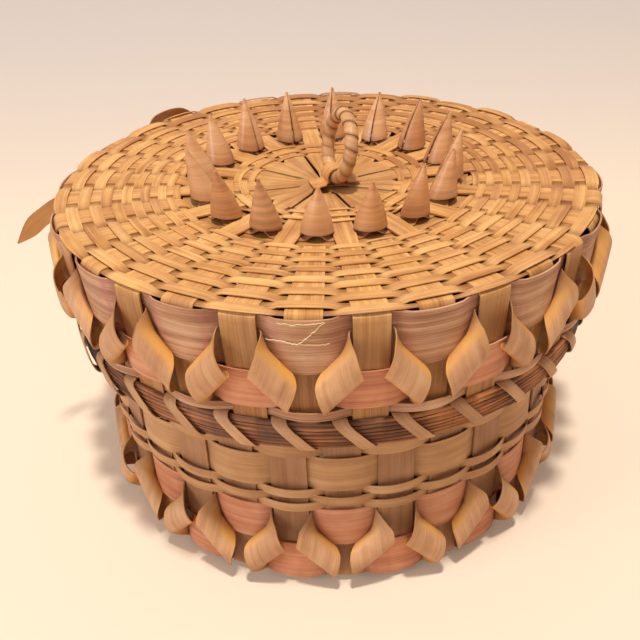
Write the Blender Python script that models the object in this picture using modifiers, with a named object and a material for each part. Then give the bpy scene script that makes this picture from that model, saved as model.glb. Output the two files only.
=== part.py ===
"""A round lidded basket of ash splint with curled overlays, a ring of cones and a ring handle.

The basket and its lid are each woven as the real ones are: wide splints cross at the centre,
their ends are slit and bent to stand as the uprights of the wall, and weavers pass over and
under them in turn. A strip winds round the hoops of each rim, and a second strip is curled
between the uprights. Angles run from the front (-Y) towards +X.
"""
import math

import bmesh
import bpy
from mathutils import Matrix, Vector

# Thickness of the splints, and the clearances that keep neighbours apart
FIT_GAP = 0.0003
UPRIGHT_THICKNESS = 0.0007
WIDE_THICKNESS = 0.0007
FINE_THICKNESS = 0.0004
CURL_THICKNESS = 0.0005
TUCK_ROOM = 0.0013
WEAVE_SWING = 0.0018
WALL_BOW = (0.0029, -0.0012)
WALL_ROOM = 0.0005

# Lid: the middle surface of its weave, from the centre to the corner and down the wall
LID_UPRIGHTS = 32
LID_FIRST_UPRIGHT = math.radians(-15.7)
LID_FOOT_RADIUS = 0.1186
LID_FLARE = 0.0068
LID_CORNER_RADIUS = LID_FOOT_RADIUS + LID_FLARE
LID_CORNER_HEIGHT = 0.152
LID_STAR_SINK = 0.0018
LID_CENTRE_SINK = 0.0038

# Star of wide splints at the centre of the lid and of the basket's floor
STAR_HUB_RADIUS = 0.009
STAR_STEP_RADIUS = 0.013
STAR_RADIUS = 0.031
SLIT_END_RADIUS = 0.033
LID_STAR_HUB_HALF_WIDTH = 0.0032
LID_STAR_STEP_HALF_WIDTH = 0.0045
LID_STAR_HALF_WIDTH = 0.0122

# Uprights of the lid: half widths along their length
LID_FINGER_HALF_WIDTH = 0.0034
LID_BRICK_RADIUS = 0.057
LID_BRICK_HALF_WIDTH = 0.0048
LID_NECK_RADIUS = 0.070
LID_NECK_HALF_WIDTH = 0.0041
LID_UPRIGHT_HALF_WIDTH = 0.0067
INSERT_START_RADIUS = 0.0495
INSERT_START_HALF_WIDTH = 0.0032

# Weavers of the lid's top
INNER_ROWS = 4
INNER_FIELD = (0.0344, 0.0476)
INNER_GROWTH_SHARE = 1.0
BAND = (0.0481, 0.0650)
BAND_THICKNESS = 0.0005
OUTER_ROWS = 13
CORNER_ROOM = 0.0009
OUTER_FIELD = (0.0684, LID_CORNER_RADIUS - CORNER_ROOM)
OUTER_GROWTH_SHARE = 1.8
ROW_GAP = 0.00035
WEAVER_TIP_SHARE = 0.3

# Weavers of the lid's wall, from the corner down: lower and upper edge of each, from its width
WALL_ROW_GAP = 0.0004
HOOP_ROW_GAP = 0.0016
LID_UPPER_DROP = 0.0027
LID_UPPER_WIDTH = 0.0231
LID_LOWER_WIDTH = 0.0181
LID_NARROW_WIDTH = 0.0042
LID_HOOP_WIDTH = 0.0135
LID_UPPER_TOP = LID_CORNER_HEIGHT - LID_UPPER_DROP
LID_UPPER_WIDE = (LID_UPPER_TOP - LID_UPPER_WIDTH, LID_UPPER_TOP)
LID_LOWER_TOP = LID_UPPER_WIDE[0] - WALL_ROW_GAP
LID_LOWER_WIDE = (LID_LOWER_TOP - LID_LOWER_WIDTH, LID_LOWER_TOP)
LID_NARROW_TOP = LID_LOWER_WIDE[0] - WALL_ROW_GAP
LID_NARROW = (LID_NARROW_TOP - LID_NARROW_WIDTH, LID_NARROW_TOP)
LID_HOOP_TOP = LID_NARROW[0] - HOOP_ROW_GAP
LID_HOOP = (LID_HOOP_TOP - LID_HOOP_WIDTH, LID_HOOP_TOP)
LID_FOOT_LIFT = 0.0002
LID_FOOT_HEIGHT = LID_HOOP[0] + LID_FOOT_LIFT
LID_FLAT_SHARE = 0.31
BASE_FLAT_SHARE = 0.37

# Rim hoops and the strip lashed round them
LID_OUTER_HOOP_THICKNESS = 0.0022
INNER_HOOP_THICKNESS = 0.0014
BASE_OUTER_HOOP_THICKNESS = 0.0016
BASE_HOOP_DEPTH = 0.0123
HOOP_CROWN = 0.0004
LASHING_WIDTH = 0.0060
LASHING_THICKNESS = 0.0005
LASHING_GAP = 0.00045
LASHING_SLANT = 0.0115

# Curls of the lid and of the basket
CURL_RISE = 0.0095
LID_CURL_HALF_HEIGHT = 0.0183
BASE_CURL_HALF_HEIGHT = 0.0197
CURL_SLOT_SHARE = 0.85
CURL_TIP_ACROSS = 0.0029
CURL_CREST_ACROSS = 0.0056
CURL_CORNER_ACROSS = 0.0096
CURL_TIP_SHARES = (0.95, 0.24)
CURL_CREST_SHARES = (0.43, 0.98)
CURL_CORNER_SHARES = (0.015, 0.68)
CURL_END_SHARE = 0.10

# Cones on the lid's band
CONE_RADIUS = 0.0067
CONE_HEIGHT = 0.024
CONE_RING_RADIUS = 0.0575
CONE_APEX_SHIFT = 0.003
CONE_THICKNESS = 0.0005
CONE_SIDES = 10
CONE_LINK_SHARE = 0.85

# Ring handle, its wrapping and the strap that holds it
RING_RADIUS = 0.0163
RING_CORE_RADIUS = 0.0022
RING_HEADING = math.radians(18.0)
RING_LEAN = math.radians(12.0)
RING_FOOT_X = 0.0015
RING_FOOT_Y = 0.0037
WRAP_RADIUS = 0.0032
WRAP_THICKNESS = 0.0005
WRAP_LOOPS = 18
WRAP_POINTS = 6
WRAP_WIDTH_SHARE = 0.86
STRAP_RADIUS = 0.0047
STRAP_WIDTH = 0.008
STRAP_REACH = 0.0115
STRAP_THICKNESS = 0.0006
STRAP_ARCS = 6

# Basket: the middle surface of its weave, from the centre to the corner and up the wall
BASE_UPRIGHTS = 30
BASE_FIRST_UPRIGHT = math.radians(-10.5)
BASE_FLOOR_HEIGHT = 0.0023
LID_ROOM = 0.0083
BASE_FLARE = 0.0023
BASE_RIM_RADIUS = LID_FOOT_RADIUS - LID_ROOM
BASE_CORNER_RADIUS = BASE_RIM_RADIUS - BASE_FLARE
BASE_SPLINTS = 5
BASE_FINGERS = 3
BASE_STAR_HUB_HALF_WIDTH = 0.0026
BASE_STAR_STEP_HALF_WIDTH = 0.0036
BASE_STAR_HALF_WIDTH = 0.0078
BASE_FINGER_HALF_WIDTH = 0.0015
BASE_FLOOR_SHARE = 0.801
BASE_FLOOR_RADIUS = BASE_CORNER_RADIUS * BASE_FLOOR_SHARE
BASE_FLOOR_HALF_WIDTH = 0.0034
BASE_UPRIGHT_HALF_WIDTH = 0.0078
BASE_TOP_LEVEL = 1
FLOOR_SWING = 0.00205

# Weavers of the basket's floor, from the star outwards, and of its wall, from the floor up
FLOOR_START_RADIUS = 0.0340
STAND_WEAVER_ROOM = 0.0040
BASE_ROW_START = 0.0030
BASE_LOWER_WIDTH = 0.0210
BASE_UPPER_WIDTH = 0.0206
BASE_NARROW_WIDTH = 0.0035
BASE_NATURAL_WIDTH = 0.0170
BASE_NARROW_TOP_WIDTH = 0.0082

# Colours of the splints
TAN = (0.80, 0.45, 0.18)
PALE = (0.62, 0.36, 0.18)
PINK = (0.60, 0.27, 0.14)
GOLD = (0.66, 0.38, 0.17)
DARK = (0.32, 0.13, 0.05)
CONE_BROWN = (0.50, 0.20, 0.07)
SPLINT_ROUGHNESS = 0.6


def clear_scene():
    """Remove the objects that a new file holds."""
    for thing in list(bpy.data.objects):
        bpy.data.objects.remove(thing, do_unlink=True)


def make_collection(name):
    """Make the collection that holds the basket."""
    group = bpy.data.collections.new(name)
    bpy.context.scene.collection.children.link(group)
    return group


def make_material(name, colour):
    """Make a plain splint colour."""
    material = bpy.data.materials.new(name)
    material.use_nodes = True
    shader = material.node_tree.nodes["Principled BSDF"]
    shader.inputs["Base Color"].default_value = (*colour, 1.0)
    shader.inputs["Roughness"].default_value = SPLINT_ROUGHNESS
    shader.inputs["Metallic"].default_value = 0.0
    return material


clear_scene()
BASKET = make_collection("splint_basket")
MATERIALS = {
    "tan": make_material("tan_splint", TAN),
    "pale": make_material("pale_splint", PALE),
    "pink": make_material("pink_splint", PINK),
    "gold": make_material("gold_splint", GOLD),
    "dark": make_material("dark_splint", DARK),
    "cone": make_material("cone_splint", CONE_BROWN),
}


def add_empty(name, place, turn=None, parent=None):
    """Add an empty that carries a moving body on its joint's axis."""
    empty = bpy.data.objects.new(name, None)
    BASKET.objects.link(empty)
    empty.parent = parent
    empty.matrix_basis = Matrix.Translation(place) @ (turn or Matrix.Identity(4))
    return empty


def add_solid(name, bm, colour, parent, thickness=0.0, even=False):
    """Turn a mesh under construction into a node, giving an open surface its thickness."""
    if thickness:
        bmesh.ops.triangulate(bm, faces=bm.faces)
    mesh = bpy.data.meshes.new(name)
    bm.to_mesh(mesh)
    bm.free()
    thing = bpy.data.objects.new(name, mesh)
    BASKET.objects.link(thing)
    thing.parent = parent
    mesh.materials.append(MATERIALS[colour])
    if thickness:
        shell = thing.modifiers.new("splint_thickness", "SOLIDIFY")
        shell.thickness = thickness
        shell.offset = 0.0
        shell.use_even_offset = even
    return thing


class Wall:
    """The middle surface of one woven shell, as a bent line from its centre to its rim."""

    def __init__(self, centre, star, corner, rim, side, count, first_angle):
        self.centre = Vector(centre)
        self.star = Vector(star)
        self.corner = Vector(corner)
        self.rim = Vector(rim)
        self.side = side
        self.count = count
        self.first_angle = first_angle
        self.pitch = 2 * math.pi / count

    def frame(self, start, end, share):
        """Place, direction along the line and outward normal at a share of a leg."""
        along = (end - start).normalized()
        outward = Vector((-along.y, along.x)) * self.side
        return start.lerp(end, share), along, outward

    def at_radius(self, radius):
        """The frame on the flat part at a radius."""
        start, end = (self.star, self.corner)
        if radius < self.star.x:
            start, end = (self.centre, self.star)
        return self.frame(start, end, (radius - start.x) / (end.x - start.x))

    def at_height(self, height):
        """The frame on the wall at a height."""
        start, end = (self.corner, self.rim)
        return self.frame(start, end, (height - start.y) / (end.y - start.y))

    def upright_angle(self, index):
        """The angle of an upright; even ones show over the upper wide weaver."""
        return self.first_angle + index * self.pitch


def spot(frame, angle, lift=0.0, across=0.0, sideways=0.0):
    """A point beside a frame: out from it, along its line and round the basket."""
    place, along, outward = frame
    flat = place + along * across + outward * lift
    tangent = Vector((math.cos(angle), math.sin(angle), 0.0))
    return Vector((flat.x * math.sin(angle), -flat.x * math.cos(angle), flat.y)) + tangent * sideways


def add_ribbon(bm, rows, closed=False):
    """Loft a strip through rows of points, as an open surface."""
    lines = [[bm.verts.new(point) for point in row] for row in rows]
    if closed:
        lines.append(lines[0])
    for line, following in zip(lines, lines[1:]):
        for left, right, next_left, next_right in zip(line, line[1:], following, following[1:]):
            bm.faces.new((left, right, next_right, next_left))
    return lines


def add_ring_weaver(name, wall, edges, thickness, lifts, colour, parent, flat_share=0.0):
    """Weave one strip round a shell: outside at one upright and inside at the next."""
    bm = bmesh.new()
    steps = (-flat_share, flat_share) if flat_share else (0.0,)
    rows = []
    for index in range(wall.count):
        for step in steps:
            angle = wall.upright_angle(index + step)
            rows.append([spot(edge, angle, lifts[index % 2]) for edge in edges])
    add_ribbon(bm, rows, closed=True)
    return add_solid(name, bm, colour, parent, thickness)


def add_wall_weaver(name, wall, heights, thickness, lifts, colour, parent, flat_share=0.0):
    """Weave a strip round the wall between two heights."""
    edges = [wall.at_height(height) for height in heights]
    return add_ring_weaver(name, wall, edges, thickness, lifts, colour, parent, flat_share)


def add_top_weaver(name, wall, radii, thickness, lifts, colour, parent, flat_share=0.0):
    """Weave a strip round the flat part between two radii."""
    edges = [wall.at_radius(radius) for radius in radii]
    return add_ring_weaver(name, wall, edges, thickness, lifts, colour, parent, flat_share)


def row_radius(field, rows, growth, row):
    """The radius where a row of a field starts, the rows growing wider outwards."""
    row = min(max(row, 0.0), rows)
    gain = (growth - 1) / (2 * rows)
    return field[0] + (field[1] - field[0]) * (row + gain * row * row) / (rows + gain * rows * rows)


def add_chased_weavers(name, wall, field, rows, growth, every, swing, colour, parent):
    """Two weavers that chase each other round the flat part, tapered where they start and end."""
    crossings = wall.count // every
    last = int((rows + 1 - 2 * WEAVER_TIP_SHARE) * crossings / 2)
    for weaver in (0, 1):
        start = weaver * crossings // 2
        lines = []
        for index in range(last + 1):
            lift = swing if (index + weaver) % 2 else -swing
            outer_row = WEAVER_TIP_SHARE + 2 * index / crossings
            angle = wall.upright_angle((start + index) * every)
            inner = row_radius(field, rows, growth, outer_row - 1) + ROW_GAP / 2
            outer = row_radius(field, rows, growth, outer_row) - ROW_GAP / 2
            lines.append([spot(wall.at_radius(radius), angle, lift) for radius in (inner, outer)])
        bm = bmesh.new()
        add_ribbon(bm, lines)
        add_solid(f"{name}_{weaver + 1}", bm, colour, parent, FINE_THICKNESS)


def stacked(start, widths):
    """Edges of strips that lie one beside the other, a row gap apart."""
    rows = []
    for width in widths:
        rows.append((start, start + width))
        start += width + WALL_ROW_GAP
    return rows


def lift_beside(thickness, room=FIT_GAP):
    """How far a weaver's middle lies from an upright's middle."""
    return UPRIGHT_THICKNESS / 2 + room + thickness / 2


def add_star_splint(name, wall, axis, level, half_widths, fingers, finger_step, stations, colour, parent):
    """One wide splint through the centre, both ends slit into fingers that become uprights."""
    bm = bmesh.new()
    hub, step, reach = half_widths
    layer = level * (UPRIGHT_THICKNESS + FIT_GAP)
    sections = ((STAR_RADIUS, 0.0, reach), (STAR_STEP_RADIUS, 0.0, step), (STAR_HUB_RADIUS, layer, hub))
    rows = []
    for end in (0, 1):
        angle = axis + end * math.pi
        flip = 1 - 2 * end
        for radius, lift, half in (sections if end == 0 else reversed(sections)):
            frame = wall.at_radius(radius)
            shares = [2 * column / fingers - 1 for column in range(fingers + 1)]
            rows.append([spot(frame, angle, lift, sideways=flip * share * half) for share in shares])
    lines = add_ribbon(bm, rows)
    for end, line in ((0, lines[0]), (1, lines[-1])):
        angle = axis + end * math.pi
        flip = 1 - 2 * end
        for column in range(fingers):
            turn = (column - (fingers - 1) / 2) * finger_step * flip
            before = (line[column], line[column + 1])
            for frame, half in stations:
                after = [bm.verts.new(spot(frame, angle + turn, sideways=flip * side * half))
                         for side in (-1, 1)]
                bm.faces.new((before[0], before[1], after[1], after[0]))
                before = after
    bmesh.ops.recalc_face_normals(bm, faces=bm.faces)
    return add_solid(name, bm, colour, parent, UPRIGHT_THICKNESS, even=True)


def add_hoop(name, wall, edges, near, far, colour, parent, crown=0.0):
    """A hoop of the rim: a crowned band turned about the basket's axis."""
    low, high = (wall.at_height(edge) for edge in edges)
    slack = 1 / math.cos(wall.pitch / 2)
    outline = [low[0] + low[2] * near, low[0] + low[2] * (far - crown),
               high[0] + high[2] * (far - crown), high[0] + high[2] * near]
    if crown:
        outline.insert(2, low[0].lerp(high[0], 0.5) + low[2] * far)
    angle = wall.upright_angle(0.5)
    bm = bmesh.new()
    corners = []
    for point in outline:
        radius = point.x * slack
        corners.append(bm.verts.new((radius * math.sin(angle), -radius * math.cos(angle), point.y)))
    for start, end in zip(corners, corners[1:] + corners[:1]):
        bm.edges.new((start, end))
    thing = add_solid(name, bm, colour, parent)
    turn = thing.modifiers.new("turned_hoop", "SCREW")
    turn.axis = "Z"
    turn.steps = wall.count
    turn.render_steps = wall.count
    turn.use_merge_vertices = True
    turn.merge_threshold = 0.00001
    turn.use_normal_calculate = True
    return thing


def add_lashing(name, wall, cross_height, wrap_height, outer_lift, inner_lift, colour, parent):
    """The strip wound round both hoops, once in each gap between two uprights."""
    cross = wall.at_height(cross_height)
    wrap = wall.at_height(wrap_height)
    radius = cross[0].x
    slant = LASHING_SLANT / radius
    half = LASHING_WIDTH / 2 / radius
    rows = []
    for index in range(wall.count):
        start = wall.upright_angle(index + 0.5)
        corners = (
            (cross, start, outer_lift),
            (wrap, start + slant, outer_lift),
            (wrap, start + slant, inner_lift),
            (cross, start + wall.pitch, inner_lift),
        )
        for frame, angle, lift in corners:
            rows.append([spot(frame, angle - half, lift), spot(frame, angle + half, lift)])
    bm = bmesh.new()
    add_ribbon(bm, rows, closed=True)
    return add_solid(name, bm, colour, parent, LASHING_THICKNESS, even=True)


def curl_rows(wall, middle, angle, lean, half_height, half_width):
    """Rows across one curl: from the upper upright's edge, over itself, to the lower one's edge."""
    frame_radius = wall.at_height(middle)[0].x
    half_gap = frame_radius * wall.pitch / 2 - half_width
    slot = -(UPRIGHT_THICKNESS + TUCK_ROOM) / 2
    slot_across = CURL_SLOT_SHARE * half_gap
    places = ((-slot_across, 1.0, 0.0), (-CURL_TIP_ACROSS, *CURL_TIP_SHARES),
              (-CURL_CREST_ACROSS, *CURL_CREST_SHARES), (-CURL_CORNER_ACROSS, *CURL_CORNER_SHARES),
              (slot_across, -CURL_END_SHARE, 0.0))
    edge = [(across, up * half_height, slot + rise * (CURL_RISE - slot)) for across, up, rise in places]
    other = [(-across, -up, lift) for across, up, lift in reversed(edge)]
    return [[spot(wall.at_height(middle + up), angle + lean * across / frame_radius, lift)
             for across, up, lift in pair] for pair in zip(edge, other)]


def add_curl_strip(name, wall, middle, half_height, half_width, colour, parent):
    """The overlay strip that curls outwards in every gap, tucked under each upright in turn."""
    bm = bmesh.new()
    lines = []
    for index in range(wall.count):
        lean = 1 - 2 * (index % 2)
        rows = curl_rows(wall, middle, wall.upright_angle(index + 0.5), lean, half_height, half_width)
        lines += rows[::lean]
    add_ribbon(bm, lines, closed=True)
    return add_solid(name, bm, colour, parent, CURL_THICKNESS)


def add_cone_strip(name, wall, colour, parent):
    """The strip that is rolled into a cone in every second gap and passes under the fingers."""
    bm = bmesh.new()
    frame = wall.at_radius(CONE_RING_RADIUS)
    foot = UPRIGHT_THICKNESS / 2 + FIT_GAP
    under = -lift_beside(CONE_THICKNESS)
    tails = []
    for index in range(1, wall.count, 2):
        angle = wall.upright_angle(index)
        apex = bm.verts.new(spot(frame, angle, foot + CONE_HEIGHT, CONE_APEX_SHIFT))
        turns = [math.pi + 2 * math.pi * side / CONE_SIDES for side in range(CONE_SIDES)]
        places = [(CONE_RADIUS * math.cos(turn), CONE_RADIUS * math.sin(turn)) for turn in turns]
        edge = [bm.verts.new(spot(frame, angle, foot, along, across)) for along, across in places]
        for first, second in zip(edge, edge[1:] + edge[:1]):
            bm.faces.new((first, second, apex))
        tail = [bm.verts.new(spot(frame, angle, under, *(CONE_LINK_SHARE * shift for shift in places[side])))
                for side in (-1, 0, 1)]
        for first, second, low, following in zip(edge[-1:] + edge, edge, tail, tail[1:]):
            bm.faces.new((first, second, following, low))
        tails.append(tail)
    for tail, following in zip(tails, tails[1:] + tails[:1]):
        bm.faces.new((tail[0], tail[1], following[1], following[2]))
    bmesh.ops.recalc_face_normals(bm, faces=bm.faces)
    return add_solid(name, bm, colour, parent, CONE_THICKNESS)


def ring_spot(turn, around, radius):
    """A point of the ring handle's tube, seen from its hinge, at its lowest point."""
    reach = RING_RADIUS + radius * math.cos(around)
    return Vector((radius * math.sin(around), reach * math.sin(turn), RING_RADIUS - reach * math.cos(turn)))


def add_ring(parent):
    """The ring's wooden core, as a torus that stands on its hinge."""
    bpy.ops.mesh.primitive_torus_add(
        major_radius=RING_RADIUS, minor_radius=RING_CORE_RADIUS, major_segments=24, minor_segments=8)
    ring = bpy.context.object
    ring.name = "ring_handle"
    stand = Matrix.Translation((0.0, 0.0, RING_RADIUS)) @ Matrix.Rotation(math.pi / 2, 4, "Y")
    ring.data.transform(stand)
    for group in list(ring.users_collection):
        group.objects.unlink(ring)
    BASKET.objects.link(ring)
    ring.parent = parent
    ring.data.materials.append(MATERIALS["cone"])
    ring.data.shade_smooth()
    return ring


def least_wrap_gap():
    """The least gap between two turns of the ring's wrapping, measured on points of its edges."""
    steps = WRAP_LOOPS * WRAP_POINTS
    half = math.pi / WRAP_LOOPS * WRAP_WIDTH_SHARE
    gaps = []
    for step in range(steps):
        around = 2 * math.pi * step / WRAP_POINTS
        turn = 2 * math.pi * step / steps
        following = turn + 2 * math.pi / WRAP_LOOPS
        edge = ring_spot(turn + half, around, WRAP_RADIUS)
        gaps.append((ring_spot(following - half, around, WRAP_RADIUS) - edge).length)
    return min(gaps)


def add_wrapping(parent):
    """The strip wound round the ring, as one unbroken winding."""
    bm = bmesh.new()
    steps = WRAP_LOOPS * WRAP_POINTS
    half = math.pi / WRAP_LOOPS * WRAP_WIDTH_SHARE
    rows = []
    for step in range(steps):
        turn = 2 * math.pi * step / steps
        around = 2 * math.pi * step / WRAP_POINTS
        rows.append([ring_spot(turn - half, around, WRAP_RADIUS), ring_spot(turn + half, around, WRAP_RADIUS)])
    add_ribbon(bm, rows, closed=True)
    return add_solid("ring_wrapping", bm, "cone", parent, WRAP_THICKNESS)


def add_strap(hinge, turn, drop, parent):
    """The broad splint loop through which the ring passes, with its ends flat on the star."""
    route = [(-STRAP_REACH, -drop), (-STRAP_RADIUS, -drop)]
    for step in range(STRAP_ARCS + 1):
        angle = math.pi * (1 - step / STRAP_ARCS)
        route.append((STRAP_RADIUS * math.cos(angle), STRAP_RADIUS * math.sin(angle)))
    route += [(STRAP_RADIUS, -drop), (STRAP_REACH, -drop)]
    bm = bmesh.new()
    rows = []
    for across, up in route:
        rows.append([hinge + turn @ Vector((across, side * STRAP_WIDTH / 2, up)) for side in (-1, 1)])
    add_ribbon(bm, rows)
    return add_solid("handle_strap", bm, "tan", parent, STRAP_THICKNESS, even=True)


def build_lid(parent):
    """Weave the lid: star, inserted uprights, rows, wall, rim, curls and cones."""
    wall = Wall(
        centre=(0.0, LID_CORNER_HEIGHT - LID_CENTRE_SINK),
        star=(STAR_RADIUS, LID_CORNER_HEIGHT - LID_STAR_SINK),
        corner=(LID_CORNER_RADIUS, LID_CORNER_HEIGHT),
        rim=(LID_FOOT_RADIUS, LID_FOOT_HEIGHT),
        side=1, count=LID_UPRIGHTS, first_angle=LID_FIRST_UPRIGHT)
    corner = wall.frame(wall.corner, wall.rim, 0.0)
    foot = wall.frame(wall.corner, wall.rim, 1.0)

    stations = [
        (wall.at_radius(SLIT_END_RADIUS), LID_FINGER_HALF_WIDTH),
        (wall.at_radius(LID_BRICK_RADIUS), LID_BRICK_HALF_WIDTH),
        (wall.at_radius(LID_NECK_RADIUS), LID_NECK_HALF_WIDTH),
        (corner, LID_UPRIGHT_HALF_WIDTH),
        (foot, LID_UPRIGHT_HALF_WIDTH),
    ]
    half_widths = (LID_STAR_HUB_HALF_WIDTH, LID_STAR_STEP_HALF_WIDTH, LID_STAR_HALF_WIDTH)
    splints = LID_UPRIGHTS // 8
    for index in range(splints):
        axis = wall.upright_angle(1 + 4 * index)
        level = index - (splints - 1) / 2
        add_star_splint(f"lid_star_splint_{index + 1}", wall, axis, level, half_widths, 2,
                        2 * wall.pitch, stations, "tan", parent)

    # Uprights inserted under the band, between those of the star
    link_room = CONE_THICKNESS + FIT_GAP
    band_lift = -lift_beside(BAND_THICKNESS, FIT_GAP + link_room)
    insert_lift = band_lift - BAND_THICKNESS / 2 - FIT_GAP - UPRIGHT_THICKNESS / 2
    insert_end = BAND[1] + FIT_GAP
    stages = [
        (wall.at_radius(INSERT_START_RADIUS), INSERT_START_HALF_WIDTH, insert_lift),
        (wall.at_radius(insert_end), LID_NECK_HALF_WIDTH, insert_lift),
        (wall.at_radius(insert_end - insert_lift), LID_NECK_HALF_WIDTH, 0.0),
        (corner, LID_UPRIGHT_HALF_WIDTH, 0.0),
        (foot, LID_UPRIGHT_HALF_WIDTH, 0.0),
    ]
    for index in range(1, wall.count, 2):
        angle = wall.upright_angle(index)
        bm = bmesh.new()
        add_ribbon(bm, [[spot(frame, angle, lift, sideways=-half), spot(frame, angle, lift, sideways=half)]
                        for frame, half, lift in stages])
        add_solid(f"lid_inserted_upright_{index // 2 + 1:02d}", bm, "tan", parent, UPRIGHT_THICKNESS,
                  even=True)

    # Inner rows over and under the sixteen fingers, and the wide band beneath them
    add_chased_weavers("lid_inner_weaver", wall, INNER_FIELD, INNER_ROWS, INNER_GROWTH_SHARE, 2,
                       WEAVE_SWING, "tan", parent)
    add_top_weaver("lid_band", wall, BAND, BAND_THICKNESS, (band_lift, band_lift), "tan", parent)
    add_chased_weavers("lid_outer_weaver", wall, OUTER_FIELD, OUTER_ROWS, OUTER_GROWTH_SHARE, 1,
                       WEAVE_SWING, "tan", parent)

    outside = lift_beside(WIDE_THICKNESS, WALL_ROOM)
    inside = -lift_beside(WIDE_THICKNESS, TUCK_ROOM)
    add_wall_weaver("lid_upper_weaver", wall, LID_UPPER_WIDE, WIDE_THICKNESS, (inside, outside),
                    "pale", parent, LID_FLAT_SHARE)
    add_wall_weaver("lid_lower_weaver", wall, LID_LOWER_WIDE, WIDE_THICKNESS, (outside, inside),
                    "pink", parent, LID_FLAT_SHARE)
    add_wall_weaver("lid_narrow_weaver", wall, LID_NARROW, FINE_THICKNESS, WALL_BOW[::-1], "pale",
                    parent)

    near = UPRIGHT_THICKNESS / 2 + FIT_GAP
    outer_far = near + LID_OUTER_HOOP_THICKNESS
    inner_far = near + INNER_HOOP_THICKNESS
    add_hoop("lid_outer_hoop", wall, LID_HOOP, near, outer_far, "dark", parent, HOOP_CROWN)
    add_hoop("lid_inner_hoop", wall, LID_HOOP, -near, -inner_far, "dark", parent)
    lash = LASHING_GAP + LASHING_THICKNESS / 2
    slack = wall.at_height(LID_HOOP[0])[0].x * (1 / math.cos(wall.pitch / 2) - 1)
    add_lashing("lid_lashing", wall, (LID_HOOP[1] + LID_NARROW[0]) / 2, LID_HOOP[0] - lash,
                outer_far + slack + lash, -inner_far - lash, "gold", parent)

    middle = (LID_UPPER_WIDE[0] + LID_LOWER_WIDE[1]) / 2
    add_curl_strip("lid_curl_strip", wall, middle, LID_CURL_HALF_HEIGHT, LID_UPRIGHT_HALF_WIDTH,
                   "gold", parent)
    add_cone_strip("lid_cone_strip", wall, "cone", parent)
    build_handle(wall, parent)
    return wall


def build_handle(wall, parent):
    """The ring that lifts the lid, in its strap on top of the star."""
    star_top = wall.at_radius(STAR_HUB_RADIUS)[0].y + UPRIGHT_THICKNESS / 2
    star_top += (LID_UPRIGHTS // 8 - 1) / 2 * (UPRIGHT_THICKNESS + FIT_GAP)
    tube = WRAP_RADIUS + WRAP_THICKNESS / 2
    hinge = Vector((RING_FOOT_X, RING_FOOT_Y, star_top + FIT_GAP + tube))
    heading = Matrix.Rotation(RING_HEADING, 4, "Z")
    lean = Matrix.Rotation(RING_LEAN, 4, "Y")
    holder = add_empty("handle_hinge", hinge, heading @ lean, parent)
    add_ring(holder)
    add_wrapping(holder)
    drop = tube - STRAP_THICKNESS / 2
    add_strap(hinge, heading, drop, parent)


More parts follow.
